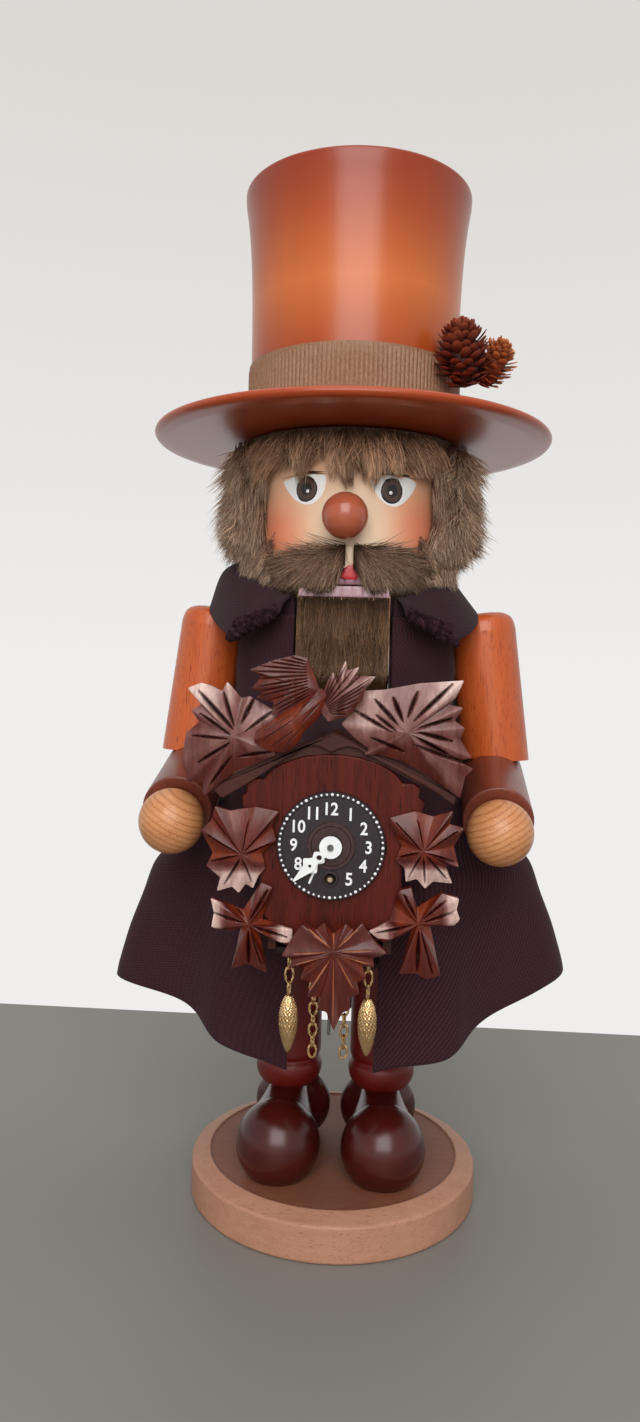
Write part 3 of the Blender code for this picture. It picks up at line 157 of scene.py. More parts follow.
def speckled(name, dark, light, stretch, scale, detail, *gloss):
    """A finish of two close tints that follow a grain; gloss is roughness, specular, metallic and coat."""
    made, tree, shader = finish(name, *gloss)
    tint = ramp(tree, grain(tree, stretch, scale, detail), [(0.3, dark), (0.7, light)])
    tree.links.new(tint, shader.inputs["Base Color"])
    return made, tree, shader


level = np.array([np.cos(CAMERA_TURN), np.sin(CAMERA_TURN), 0])
ahead = np.array([-level[1], level[0], 0]) * np.cos(CAMERA_DIP) - np.array([0, 0, np.sin(CAMERA_DIP)])
upward = np.cross(level, ahead)
placing = np.eye(4)
placing[:3, 0] = level * np.cos(CAMERA_ROLL) + upward * np.sin(CAMERA_ROLL)
placing[:3, 1] = upward * np.cos(CAMERA_ROLL) - level * np.sin(CAMERA_ROLL)
placing[:3, 2] = -ahead
placing[:3, 3] = CAMERA_AT
lens = bpy.data.cameras.new("photo_view")
lens.lens = LENS
lens.sensor_width = SENSOR
camera = bpy.data.objects.new("photo_view", lens)
camera.matrix_world = Matrix(placing.tolist())
bpy.context.scene.collection.objects.link(camera)
bpy.context.scene.camera = camera
bpy.context.scene.view_settings.view_transform = "Standard"


def lamp(name, at, aim, width, height, watts, mirrored=True):
    """A soft rectangular lamp that faces a point, and is seen in glossy surfaces only where asked."""
    light = bpy.data.lights.new(name, "AREA")
    light.shape = "RECTANGLE"
    light.size = width
    light.size_y = height
    light.energy = watts
    made = bpy.data.objects.new(name, light)
    back = np.array(at) - np.array(aim)
    back = back / np.linalg.norm(back)
    side = np.cross([0, 0, 1], back)
    side = side / np.linalg.norm(side)
    turn = np.eye(4)
    turn[:3, :3] = np.stack([side, np.cross(back, side), back], axis=1)
    turn[:3, 3] = at
    made.matrix_world = Matrix(turn.tolist())
    made.visible_glossy = mirrored
    bpy.context.scene.collection.objects.link(made)


lamp("window", (0.05, -1.2, 0.95), (0, 0, 0.25), 1.0, 1.1, 15.5)
lamp("ceiling", (0, -0.1, 1.5), (0, 0, 0.1), 1.2, 1.2, 4)
lamp("fill", (-0.1, -1.3, 0.2), (0, 0, 0.28), 0.9, 0.9, 5.4, mirrored=False)

room = bpy.data.worlds.new("room")
room.use_nodes = True
tree = room.node_tree
tree.nodes.clear()
heading = node(tree, "SeparateXYZ", {0: node(tree, "TexCoord").outputs["Generated"]})
depth = node(tree, "MapRange", {"Value": heading.outputs["Y"], "From Min": -0.5, "From Max": 0.35})
around = ramp(tree, depth.outputs[0], [(0.0, (0.2, 0.2, 0.2, 1)), (1.0, srgb(226, 224, 220))])
lit = node(tree, "Background", {"Color": around, "Strength": 0.85})
rise = node(tree, "MapRange", {"Value": heading.outputs["Z"], "From Min": 0.0, "From Max": 0.5})
plaster = ramp(tree, rise.outputs[0], [(0.0, srgb(239, 238, 237)), (1.0, srgb(221, 217, 213))])
wall = node(tree, "Background", {"Color": plaster, "Strength": 1.0})
path = node(tree, "LightPath")
seen = path.outputs["Is Camera Ray"]
for kind in ("Is Glossy Ray", "Is Transmission Ray"):
    seen = node(tree, "Math", {0: seen, 1: path.outputs[kind]}, operation="MAXIMUM").outputs[0]
shown = node(tree, "MixShader", {0: seen, 1: lit.outputs[0], 2: wall.outputs[0]})
node(tree, "OutputWorld", {"Surface": shown.outputs[0]})
bpy.context.scene.world = room


def grid_faces(rows, columns, round_rows=False, round_columns=False):
    """Corner numbers of the quads between neighbours in a grid of points, joined round where asked."""
    index = np.arange(rows * columns).reshape(rows, columns)
    if round_columns:
        index = np.hstack([index, index[:, :1]])
    if round_rows:
        index = np.vstack([index, index[:1]])
    quads = [index[:-1, :-1], index[:-1, 1:], index[1:, 1:], index[1:, :-1]]
    return np.stack(quads, axis=-1).reshape(-1, 4)


def piece(name, points, faces, material, uv=None, closed=True, crease=40, uv_name="OFBake"):
    """Object from points in millimetres: a closed one has doubles merged and its faces turned outwards."""
    mesh = bpy.data.meshes.new(name)
    faces = faces if isinstance(faces, list) else faces.tolist()
    mesh.from_pydata((points.reshape(-1, 3) * MM).tolist(), [], faces)
    if uv is not None:
        corner = np.empty(len(mesh.loops), dtype=np.int32)
        mesh.loops.foreach_get("vertex_index", corner)
        layer = mesh.uv_layers.new(name=uv_name)
        layer.data.foreach_set("uv", uv.reshape(-1, 2)[corner].ravel())
    if closed:
        work = bmesh.new()
        work.from_mesh(mesh)
        bmesh.ops.remove_doubles(work, verts=work.verts[:], dist=2e-6)
        bmesh.ops.recalc_face_normals(work, faces=work.faces[:])
        work.to_mesh(mesh)
        work.free()
    mesh.shade_smooth()
    mesh.set_sharp_from_angle(angle=radians(crease))
    mesh.materials.append(material)
    made = bpy.data.objects.new(name, mesh)
    bpy.context.scene.collection.objects.link(made)
    return made


table = speckled("table_top", srgb(126, 124, 118), srgb(132, 130, 124), (1, 1, 1), 3.0, 2.0, 0.5)[0]
edge = np.linspace(-1300, 1300, 27)
depth = np.linspace(-1300, TABLE_EDGE / MM, 17)
top = np.stack(np.broadcast_arrays(edge[None, :], depth[:, None], -0.05), axis=-1)
piece("table", top, grid_faces(17, 27), table, closed=False)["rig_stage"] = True

# Base: a round beech disc turned with a floor just below its edge and a rim that slopes down outwards.
# The floor is stained darker and holds the dowels of the two shoes.
BASE_PROFILE = [
    (0, 17.6), (55, 17.6), (55.6, 18.2), (56.4, 18.2), (63.2, 15.7), (64, 14.9), (64, 0.8), (63.2, 0),
    (0, 0),
]


def rounded(outline, radius, count=7, ring=False):
    """A polyline with each corner replaced by a quadratic curve that starts one radius before the corner."""
    line = np.asarray(outline, float)
    before = np.roll(line, 1, axis=0) - line
    after = np.roll(line, -1, axis=0) - line
    reach = [np.linalg.norm(side, axis=1, keepdims=True) + 1e-9 for side in (before, after)]
    start = line + before / reach[0] * np.minimum(radius, 0.45 * reach[0])
    end = line + after / reach[1] * np.minimum(radius, 0.45 * reach[1])
    t = np.linspace(0, 1, count)[None, :, None]
    curve = start[:, None] * (1 - t) ** 2 + line[:, None] * 2 * t * (1 - t) + end[:, None] * t**2
    if ring:
        return curve.reshape(-1, line.shape[1])
    return np.vstack([line[:1], curve[1:-1].reshape(-1, line.shape[1]), line[-1:]])


def turned(profile, steps, at=(0, 0, 0), axis=(0, 0, 1), side=(1, 0, 0)):
    """A (radius, height) profile carried round an axis: rows follow the profile, columns the turn."""
    profile = np.asarray(profile, float)
    axis = np.asarray(axis, float) / np.linalg.norm(axis)
    first = np.asarray(side, float) - axis * np.dot(side, axis)
    first = first / np.linalg.norm(first)
    second = np.cross(axis, first)
    turn = np.arange(steps) * TAU / steps
    ring = np.cos(turn)[:, None] * first + np.sin(turn)[:, None] * second
    return np.asarray(at) + profile[:, 1, None, None] * axis + profile[:, 0, None, None] * ring


def turning(name, profile, steps, material, **placing):
    """A turned piece as a closed object."""
    points = turned(profile, steps, **placing)
    return piece(name, points, grid_faces(*points.shape[:2], round_columns=True), material)


def relief(tree, shader, height, strength, distance=0.0002, invert=False):
    """Give a finish fine relief from a height between 0 and 1."""
    bump = node(tree, "Bump", {"Height": height, "Strength": strength, "Distance": distance}, invert=invert)
    tree.links.new(bump.outputs[0], shader.inputs["Normal"])


def from_axis(tree, at, across):
    """Distance from an axis through a place; across gives the two directions that it is measured in."""
    place = node(tree, "TexCoord").outputs["Object"]
    moved = node(tree, "Mapping", {"Vector": place, "Location": [-value * MM for value in at]})
    spot = node(tree, "SeparateXYZ", {0: moved.outputs[0]})
    flat = node(tree, "CombineXYZ", {way: spot.outputs[way] for way in across})
    return node(tree, "VectorMath", {0: flat.outputs[0]}, operation="LENGTH").outputs["Value"]


def wooden(name, pale, dark, pore, stretch, roughness, specular=0.4, coat=0.0):
    """Wood with broad bands, fine lines along the grain and short dark pores, which are slightly sunk."""
    made, tree, shader = finish(name, roughness, specular, coat=coat)
    bands = ramp(tree, grain(tree, stretch, 70), [(0.32, dark), (0.68, pale)])
    lines = ramp(tree, grain(tree, stretch, 420), [(0.3, dark), (0.62, pale)])
    body = mixed(tree, 0.45, bands, lines)
    short = grain(tree, stretch, 2600, 1.0)
    fleck = node(tree, "MapRange", {"Value": short, "From Min": 0.62, "From Max": 0.7})
    tree.links.new(mixed(tree, fleck.outputs[0], body, pore), shader.inputs["Base Color"])
    relief(tree, shader, fleck.outputs[0], 0.25, invert=True)
    return made, tree, shader


beech, tree, shader = wooden(
    "beech_disc", srgb(191, 141, 115), srgb(173, 122, 96), srgb(154, 103, 79), (0.12, 1, 1), 0.5
)
spot = node(tree, "SeparateXYZ", {0: node(tree, "TexCoord").outputs["Object"]})
middle = from_axis(tree, (0, 0, 0), (0, 1))
inside = node(tree, "MapRange", {"Value": middle, "From Min": 0.0562, "From Max": 0.0557})
above = node(tree, "MapRange", {"Value": spot.outputs[2], "From Min": 0.008, "From Max": 0.009})
sunk = node(tree, "Math", {0: inside.outputs[0], 1: above.outputs[0]}, operation="MULTIPLY")
plain = shader.inputs["Base Color"].links[0].from_socket
stain = mixed(tree, 1.0, plain, srgb(186, 160, 152), "MULTIPLY")
tree.links.new(mixed(tree, sunk.outputs[0], plain, stain), shader.inputs["Base Color"])
base = turning("base_disc", rounded(BASE_PROFILE, 0.8), 200, beech)
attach(base, "figure")
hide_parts("base_plate")

# Shoes: each turned from one block along its length, with a ball toe, a narrow waist and a bell-shaped heel.
# They are sprayed dark red-brown and lacquered, and the sole is planed flat.
SHOE_AXIS = 31.0
SOLE = 17.9
TOE_RADIUS = 18.2
TOE_REACH = 27.0
TOE_OUT = radians(3.5)
LEG_SPREAD = 21.0
SIDES = (("left", -1), ("right", 1))


def flowing(points, count):
    """A smooth line of that many points through the given ones, each span a cubic with averaged slopes."""
    line = np.asarray(points, float)
    slope = np.gradient(line, axis=0)
    place = np.linspace(0, len(line) - 1, count)
    span = np.minimum(place.astype(int), len(line) - 2)
    t = (place - span)[:, None]
    a, b, m, n = line[span], line[span + 1], slope[span], slope[span + 1]
    start = a * (2 * t**3 - 3 * t**2 + 1) + m * (t**3 - 2 * t**2 + t)
    return start + b * (3 * t**2 - 2 * t**3) + n * (t**3 - t**2)


def tube(line, radius, around, ring=False):
    """Rings of points round a line; the radius is one value or one for each place in the grid."""
    ahead = np.roll(line, -1, axis=0) - np.roll(line, 1, axis=0) if ring else np.gradient(line, axis=0)
    ahead /= np.linalg.norm(ahead, axis=1, keepdims=True)
    first = np.cross(ahead, [0.12, 0.23, 0.96])
    first /= np.linalg.norm(first, axis=1, keepdims=True)
    second = np.cross(ahead, first)
    turn = np.arange(around) * TAU / around
    ring_points = first[:, None] * np.cos(turn)[:, None] + second[:, None] * np.sin(turn)[:, None]
    return line[:, None] + np.broadcast_to(radius, (len(line), around))[..., None] * ring_points


def capped(points):
    """Rings of points closed at both ends, by a ring drawn together in the middle."""
    caps = points[[0, -1]].mean(axis=1, keepdims=True).repeat(points.shape[1], axis=1)
    return np.concatenate([caps[:1], points, caps[1:]])


def lacquer(name, deep, light, roughness, coat):
    """Sprayed lacquer: a soft cloud of two close tints under a clear coat."""
    made, tree, shader = speckled(name, deep, light, (1, 1, 1), 55, 3.0, roughness, 0.4, 0.0, coat)
    shader.inputs["Coat Roughness"].default_value = 0.25
    relief(tree, shader, grain(tree, (1, 1, 1), 900, 2.0), 0.05)
    return made


shoe_lacquer = lacquer("shoe_lacquer", srgb(60, 15, 13), srgb(76, 21, 17), 0.26, 0.1)
toe_turn = np.linspace(radians(118), 0, 14)
SHOE_PROFILE = np.vstack(
    [
        [(0, -23), (7, -22.8), (12.4, -21.8), (16.4, -19), (17.6, -15), (14.9, -10.5), (10.8, -6.5)],
        [(8.9, -2), (8.9, 3), (9.8, 8.5), (12.2, 13)],
        np.stack([TOE_RADIUS * np.sin(toe_turn), TOE_REACH + TOE_RADIUS * np.cos(toe_turn)], axis=1),
    ]
)
INSTEP = [
    (0, 48.5, 8.4), (1, 44.5, 8.8), (5, 41, 10.2), (11, 37.4, 12.4), (18, 34.4, 14.4), (26, 32, 14.5),
]
for side, sign in SIDES:
    toe_line = (sign * np.sin(TOE_OUT), -np.cos(TOE_OUT), 0)
    points = turned(flowing(SHOE_PROFILE, 120), 96, (sign * LEG_SPREAD, 0, SHOE_AXIS), toe_line, (0, 0, 1))
    points[..., 2] = np.maximum(points[..., 2], SOLE)
    shoe = piece("shoe_turned_" + side, points, grid_faces(120, 96, round_columns=True), shoe_lacquer)
    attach(shoe, "figure")
    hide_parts("shoe_" + side)
    ahead, height, girth = flowing(INSTEP, 40).T
    upright = np.stack([np.full(40, sign * LEG_SPREAD), np.zeros(40), height], axis=1)
    points = capped(tube(np.outer(ahead, toe_line) + upright, girth[:, None], 64))
    instep = piece("instep_" + side, points, grid_faces(42, 64, round_columns=True), shoe_lacquer)
    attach(instep, "figure")

# Legs: straight turned trouser legs with a fat bead at the hem and a thin ankle set into the shoe.
# Deep red lacquer; a tenon at the top is glued into the body.
LEG_PROFILE = [
    (0, 111.7), (14.3, 111.7), (14.3, 62.2), (13.1, 60.6), (14.6, 58.4), (15, 55.4), (14.5, 52.2),
    (12.8, 49.2), (9.6, 47.3), (6.9, 46.4), (6.8, 44), (6.9, 38.9), (0, 38.9),
]
leg_lacquer = lacquer("leg_lacquer", srgb(92, 16, 13), srgb(112, 23, 17), 0.42, 0.08)
for side, sign in SIDES:
    foot = (sign * LEG_SPREAD, 0, 0)
    leg = turning("leg_turned_" + side, rounded(LEG_PROFILE, 1.6), 96, leg_lacquer, at=foot)
    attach(leg, "figure")
    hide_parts("leg_" + side)

# Body: torso, neck and head turned from one block, with a slot sawn from front to back for the jaw lever.
# The head is sprayed as a face, peach with red cheeks and a pale muzzle.
# The torso is stained as dark as the coat that covers it.
HEAD_RADIUS = 41.0
BODY_PROFILE = [
    (0, 333.2), (36, 333.2), (40, 331.4), (41, 327), (41, 262), (39.5, 258), (37, 253), (42, 248),
    (45, 237), (45, 115), (43, 112), (0, 112),
]
SLOT_OUTLINE = [
    (-70, 275.4), (-14, 275.4), (4, 260), (24, 249), (70, 245.5), (70, 186), (46, 199), (14, 214),
    (-8, 217.5), (-70, 216.5),
]
SLOT_HALF = 19.0
CHEEK_SPRAY = (0.026, 0.003, 0.85, srgb(236, 136, 99))
SPRAYED = (
    ((1.5, -42, 293), 0.030, 0.010, 1.0, srgb(240, 210, 178)),
    ((-30.5, -27.4, 291), *CHEEK_SPRAY),
    ((31.6, -26.1, 294), *CHEEK_SPRAY),
)


def slab(name, outline, low, high, material, across="y", bevel=0.0):
    """A flat outline carried straight across from low to high, with its edges bevelled."""
    outline = np.asarray(outline, float)
    count = len(outline)
    points = np.empty((2, count, 3))
    order = (1, 0, 2) if across == "y" else (0, 1, 2)
    points[..., order[0]] = np.array([low, high])[:, None]
    points[..., order[1]] = outline[:, 0]
    points[..., order[2]] = outline[:, 1]
    faces = grid_faces(2, count, round_columns=True).tolist()
    faces += [list(range(count)), list(range(count, 2 * count))]
    made = piece(name, points, faces, material, crease=30)
    if bevel:
        edge = made.modifiers.new("worn_edge", "BEVEL")
        edge.width = bevel * MM
        edge.segments = 3
        edge.limit_method = "ANGLE"
        edge.angle_limit = radians(35)
    return made


def cut_by(made, cutter):
    """Take a cutter's volume out of a piece for good, and remove the cutter."""
    saw = made.modifiers.new("saw", "BOOLEAN")
    saw.solver = "EXACT"
    saw.object = cutter
    mesh = bpy.data.meshes.new_from_object(made.evaluated_get(bpy.context.evaluated_depsgraph_get()))
    made.modifiers.clear()
    made.data = mesh
    bpy.data.objects.remove(cutter, do_unlink=True)
    mesh.shade_smooth()
    mesh.set_sharp_from_angle(angle=radians(35))


face_paint, tree, shader = finish("face_paint", 0.42, 0.4)
place = node(tree, "TexCoord").outputs["Object"]
tint = ramp(tree, grain(tree, (1, 1, 1), 45, 3.0), [(0.3, srgb(236, 184, 146)), (0.7, srgb(241, 194, 158))])
for at, far, near, most, spray in SPRAYED:
    away = node(tree, "VectorMath", {0: place, 1: [value * MM for value in at]}, operation="DISTANCE")
    reach = {"Value": away.outputs["Value"], "From Min": far, "From Max": near, "To Max": most}
    cover = node(tree, "MapRange", reach, interpolation_type="SMOOTHSTEP")
    tint = mixed(tree, cover.outputs[0], tint, spray)
raw = ramp(tree, grain(tree, (1, 1, 0.1), 160), [(0.3, srgb(44, 25, 30)), (0.7, srgb(58, 35, 40))])
height = node(tree, "SeparateXYZ", {0: place}).outputs[2]
painted = node(tree, "MapRange", {"Value": height, "From Min": 0.2672, "From Max": 0.2682})
tree.links.new(mixed(tree, painted.outputs[0], raw, tint), shader.inputs["Base Color"])
relief(tree, shader, grain(tree, (1, 1, 1), 700, 2.0), 0.06)
body = turning("body_turned", rounded(BODY_PROFILE, 3), 180, face_paint)
cut_by(body, slab("slot", SLOT_OUTLINE, -SLOT_HALF, SLOT_HALF, face_paint, across="x"))
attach(body, "figure")
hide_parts("body_block")

# Painted face: eyes, lips and the pale drip below the nose are laid on the head as thin coats of paint.
# Each coat is a little thicker in the middle and its edge sinks into the coat below.
EYE_LEFT = [
    (-30.8, 314), (-27.6, 309.4), (-23.2, 305), (-18.4, 302.7), (-14, 302.7), (-10.2, 305.4),
    (-8.1, 309.8), (-7.7, 315.2), (-15, 316), (-23, 315.4),
]
EYE_RIGHT = [
    (32.8, 314.6), (30.2, 310), (26, 305.2), (21, 302.3), (16.2, 303), (12, 306.4), (9.4, 311),
    (8.6, 315.2), (18, 316.2), (27.5, 315.8),
]
PUPILS = ((-17.2, 309.5), (19, 309.4))
DRIP = [(-1.6, 287), (1.2, 279), (2.5, 277.9), (3.8, 279), (5, 287)]
LIP = [
    (-2.6, 273.4), (-0.4, 277.2), (2, 279), (4.6, 279.2), (7, 277.2), (8.6, 273.6), (5.5, 272.6),
    (0.8, 272.6),
]
LIP_SIDE = [(-5.2, 273.6), (-1.6, 277.6), (8.6, 277.8), (11, 273.6), (8, 272.8), (-2, 272.8)]


def on_head(across, height, lift):
    """A place on the head: distance round it from the front, height, and lift off the wood."""
    turn = across / HEAD_RADIUS
    radius = HEAD_RADIUS + lift
    return np.stack([radius * np.sin(turn), -radius * np.cos(turn), height], axis=-1)


def coat_of_paint(name, outline, lift, material, rows=9, soften=2):
    """A patch of paint: its outline shrinks to the middle in rings, and the lift falls off at the rim."""
    line = rounded(outline, soften, 6, ring=True)
    middle = line.mean(axis=0)
    share = np.linspace(0, 1, rows)[:, None]
    across = middle[0] + share * (line[:, 0] - middle[0])
    height = middle[1] + share * (line[:, 1] - middle[1])
    swell = lift * (1 - share**6) - 0.06 * share**6
    points = on_head(across, height, np.broadcast_to(swell, across.shape))
    made = piece(name, points, grid_faces(*points.shape[:2], round_columns=True), material, closed=False)
    bulk = bmesh.new()
    bulk.from_mesh(made.data)
    bmesh.ops.remove_doubles(bulk, verts=bulk.verts[:], dist=2e-6)
    outward = sum((face.normal.y * face.calc_area() for face in bulk.faces), 0.0)
    if outward > 0:
        bmesh.ops.reverse_faces(bulk, faces=bulk.faces[:])
    bulk.to_mesh(made.data)
    bulk.free()
    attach(made, "figure")
    return made


def circle(middle, radius, squash=1.0, count=28):
    """An outline of that radius round a middle, narrower or wider than tall."""
    turn = np.arange(count) * TAU / count
    return np.stack([middle[0] + squash * radius * np.cos(turn), middle[1] + radius * np.sin(turn)], axis=1)


def enamel(name, tint, shade):
    """Brushed enamel: two close tints in fine streaks."""
    return speckled(name, shade, tint, (1, 1, 0.4), 500, 3.0, 0.3, 0.5)[0]


eye_white = enamel("eye_white", srgb(251, 250, 248), srgb(244, 242, 238))
iris_brown = enamel("iris_brown", srgb(82, 58, 47), srgb(58, 40, 33))
pupil_black = enamel("pupil_black", srgb(16, 12, 12), srgb(10, 8, 8))
lid_brown = enamel("lid_brown", srgb(70, 44, 34), srgb(52, 33, 26))
lip_red = enamel("lip_red", srgb(204, 34, 42), srgb(178, 26, 34))
lip_dark = enamel("lip_dark", srgb(118, 36, 42), srgb(98, 30, 36))
drip_cream = enamel("drip_cream", srgb(240, 214, 178), srgb(228, 200, 164))
for (side, sign), outline, eye in zip(SIDES, (EYE_LEFT, EYE_RIGHT), PUPILS):
    lid = [(x, z + 0.9) for x, z in outline[-3:]] + [(x, z + 0.1) for x, z in outline[-3:]][::-1]
    lid = [(outline[0][0] + sign * 1.2, outline[0][1] + 0.6)] + lid[::-1]
    coat_of_paint("eye_lid_" + side, lid, 0.45, lid_brown, soften=0.5)
    coat_of_paint("eye_white_" + side, outline, 0.12, eye_white)
    coat_of_paint("eye_iris_" + side, circle(eye, 6), 0.2, pupil_black)
    coat_of_paint("eye_ring_" + side, circle(eye, 5.4), 0.26, iris_brown)
    coat_of_paint("eye_pupil_" + side, circle(eye, 3.4), 0.32, pupil_black)
    glint = (eye[0] - 0.7 * sign, eye[1] - 0.9)
    coat_of_paint("eye_glint_" + side, circle(glint, 0.95), 0.42, eye_white)
coat_of_paint("lip_side", LIP_SIDE, 0.1, lip_dark)
coat_of_paint("lip_middle", LIP, 0.2, lip_red, soften=1)
coat_of_paint("drip", DRIP, 0.3, drip_cream, soften=1.5)

# Jaw lever: one beech board with the jaw in front and the handle down the back, turning on a steel pin.
# A strip of painted teeth lies on the jaw's top front edge, and another, painted darker as painted shade, hangs
# from the roof of the mouth.
LEVER_OUTLINE = [
    (-42.5, 269.6), (-24, 269.6), (0, 246), (20, 236), (46, 222.5), (60, 207), (69, 140), (66.5, 136),
    (61.5, 137), (53.5, 195), (44, 205), (14, 218), (-6, 222), (-24, 230), (-36, 236), (-42.5, 238),
]
LEVER_HALF = 18.92
TOOTH_WIDTH = 4.4

lever_beech = wooden(
    "lever_beech", srgb(222, 178, 138), srgb(200, 150, 110), srgb(150, 100, 66), (1, 1, 0.12), 0.5
)[0]
lever_line = rounded(LEVER_OUTLINE, 3.5, 5, ring=True)
lever = slab("lever_board", lever_line, -LEVER_HALF, LEVER_HALF, lever_beech, "x", 0.9)
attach(lever, "jaw")
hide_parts("jaw_lever")


def teeth(name, left, right, low, high, front, material):
    """A row of teeth: a flat ring of (depth, height) carried across, swelling forward on each tooth."""
    across = np.linspace(left, right, 161)
    turn = np.linspace(0, TAU, 28, endpoint=False)
    squared = np.sign(np.sin(turn)) * np.abs(np.sin(turn)) ** 0.4
    depth = np.sign(np.cos(turn)) * np.abs(np.cos(turn)) ** 0.5
    swell = 0.7 + 0.3 * np.abs(np.sin(np.pi * (across - left) / TOOTH_WIDTH)) ** 0.5
    ends = np.clip(np.minimum(across - left, right - across) / 0.4, 0, 1)
    y = front - 0.75 * np.outer(swell * ends, depth + 1)
    tall = 0.5 * (high - low) * np.outer(0.86 + 0.14 * swell, squared) * (0.2 + 0.8 * ends[:, None])
    z = (low + high) / 2 + tall
    points = capped(np.stack([np.broadcast_to(across[:, None], y.shape), y, z], axis=-1))
    return piece(name, points, grid_faces(163, 28, round_columns=True), material)


tooth_paint = enamel("tooth_paint", srgb(186, 150, 157), srgb(166, 130, 138))
# The upper teeth are painted a darker mauve than the lower ones, as painted shade under the lip.
shaded_tooth_paint = enamel("shaded_tooth_paint", srgb(160, 116, 128), srgb(142, 98, 112))
lower_teeth = teeth("teeth_lower", -18.7, 18.7, 265.2, 269.8, -42.2, tooth_paint)
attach(lower_teeth, "jaw")
upper_teeth = teeth("teeth_upper", -17.6, 17.6, 270.5, 275.5, -39.3, shaded_tooth_paint)
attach(upper_teeth, "figure")

# Nose: a turned ball of wood, sprayed terracotta and lacquered.
# A peg on its back is glued into the face.
NOSE_RADIUS = 9.3
NOSE_AT = (0, -50.6, 297)

nose_paint = lacquer("nose_paint", srgb(168, 84, 58), srgb(180, 94, 66), 0.2, 0.2)
turn = np.linspace(0, radians(164), 40)
ball = np.stack([NOSE_RADIUS * np.sin(turn), NOSE_RADIUS * np.cos(turn)], axis=1)
ball = np.vstack([ball, [(2.5, -NOSE_RADIUS), (2.5, -14), (0, -14)]])
nose = turning("nose_ball", ball, 64, nose_paint, at=NOSE_AT, axis=(0, -1, 0), side=(0, 0, 1))
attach(nose, "figure")
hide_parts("nose")

# Hair: a wig of long-pile fur in three lengths round the head, with a fringe, a moustache and a beard.
# Every lock is a bunch of tapering hairs; a dark felt backing glued to the wood lies under them.
WIG_BOTTOM = 283.0
WIG_SHAPE = ((283, 49.5), (288, 54), (295, 56), (304.8, 55), (318.8, 54.5), (328, 54.5), (332.8, 53))
WIG_PARTS = (("left", -140, -64), ("back", -220, -140), ("right", -296, -220))
FRINGE_ENDS = [
    (-46, 300), (-43, 306), (-39, 313.5), (-32, 318), (-22, 320), (-12.5, 319.5), (-4.7, 316),
    (1.4, 314), (6, 314.5), (12, 318), (20, 320), (28, 319.5), (35, 317.5), (40, 313), (44, 306),
    (47, 300),
]
MOUTH_MIDDLE = 1.8
WIG_BUNCHES = 420
WIG_HAIRS = 8200
TEMPLE_LOCKS = 80
TEMPLE_HAIRS = 2600
JAW_SIDE_LOCKS = 40
JAW_SIDE_HAIRS = 1300
FRINGE_BUNCHES = 66
FRINGE_HAIRS = 7000
FRINGE_EDGE = 63
MOUSTACHE_BUNCHES = 110
MOUSTACHE_HAIRS = 7200
MOUSTACHE_WISPS = 420
BEARD_BUNCHES = 70
BEARD_HAIRS = 6600
BEARD_HALF = 18.6
HAIR_TOP = 332.4
HAIR_STEPS = np.array([0.0, 0.4, 0.75, 1.0])
chance = np.random.default_rng(11)


def fur(name, root, middle, tip):
    """Fur coloured only by each hair's tone (first coordinate) and the way from root to tip (second)."""
    made, tree, shader = finish(name, 0.62, 0.12)
    spot = node(tree, "SeparateXYZ", {0: node(tree, "UVMap", uv_map="OFBake").outputs[0]})
    length = ramp(tree, spot.outputs[1], [(0.0, root), (0.5, middle), (1.0, tip)])
    tones = [(0.0, (0.42, 0.40, 0.38, 1)), (0.6, (1, 1, 1, 1)), (1.0, (1.5, 1.46, 1.4, 1))]
    tone = ramp(tree, spot.outputs[0], tones)
    tree.links.new(mixed(tree, 1.0, length, tone, "MULTIPLY"), shader.inputs["Base Color"])
    return made


def hairs(name, path, width, tone, material):
    """Closed three-sided hairs: each path has four places from root to tip, where it shrinks to a point."""
    count = len(path)
    along = np.gradient(path, axis=1)
    along /= np.linalg.norm(along, axis=2, keepdims=True)
    first = np.cross(along, [0.31, 0.57, 0.76])
    first /= np.linalg.norm(first, axis=2, keepdims=True)
    second = np.cross(along, first)
    turn = np.arange(3) * TAU / 3
    ring = first[:, :3, None] * np.cos(turn)[:, None] + second[:, :3, None] * np.sin(turn)[:, None]
    thick = width[:, None] * np.array([1.0, 0.9, 0.6])
    rings = path[:, :3, None] + thick[:, :, None, None] * ring
    points = np.concatenate([rings.reshape(count, 9, 3), path[:, 3:]], axis=1)
    after = np.array([1, 2, 0])
    step = np.arange(3)
    quads = [np.stack([k + step, k + after, k + 3 + after, k + 3 + step], axis=1) for k in (0, 3)]
    quads = np.concatenate(quads)
    ends = np.vstack([np.stack([6 + step, 6 + after, [9, 9, 9]], axis=1), [[2, 1, 0]]])
    start = np.arange(count)[:, None, None] * 10
    faces = (start + quads).reshape(-1, 4).tolist() + (start + ends).reshape(-1, 3).tolist()
    way = np.append(HAIR_STEPS[:3].repeat(3), 1.0)
    uv = np.stack(np.broadcast_arrays(tone[:, None], way), axis=-1)
    return piece(name, points, faces, material, uv=uv.reshape(-1, 2), closed=False, crease=180)


def between(low, high, count):
    """Even chance between two values."""
    return chance.uniform(low, high, count)


def locks(count, bunches):
    """Which bunch each hair belongs to."""
    return chance.integers(0, bunches, count)


def round_head(turn, radius, height):
    """A place given by the turn from the front, the distance from the axis and the height."""
    return np.stack([radius * np.sin(turn), -radius * np.cos(turn), height], axis=-1)


def backing(name, turns, section, material):
    """A felt backing: a closed (radius, height) section carried round part of the head, with closed ends."""
    section = np.asarray(section, float)
    height = np.broadcast_to(section[:, 1], (len(turns), len(section)))
    points = capped(round_head(turns[:, None], section[None, :, 0], height))
    return piece(name, points, grid_faces(*points.shape[:2], round_columns=True), material)


def fallen(top, end, power=1.0):
    """Heights of hairs that fall from top to end, at the places along a hair."""
    return top[:, None] + (end - top)[:, None] * HAIR_STEPS**power


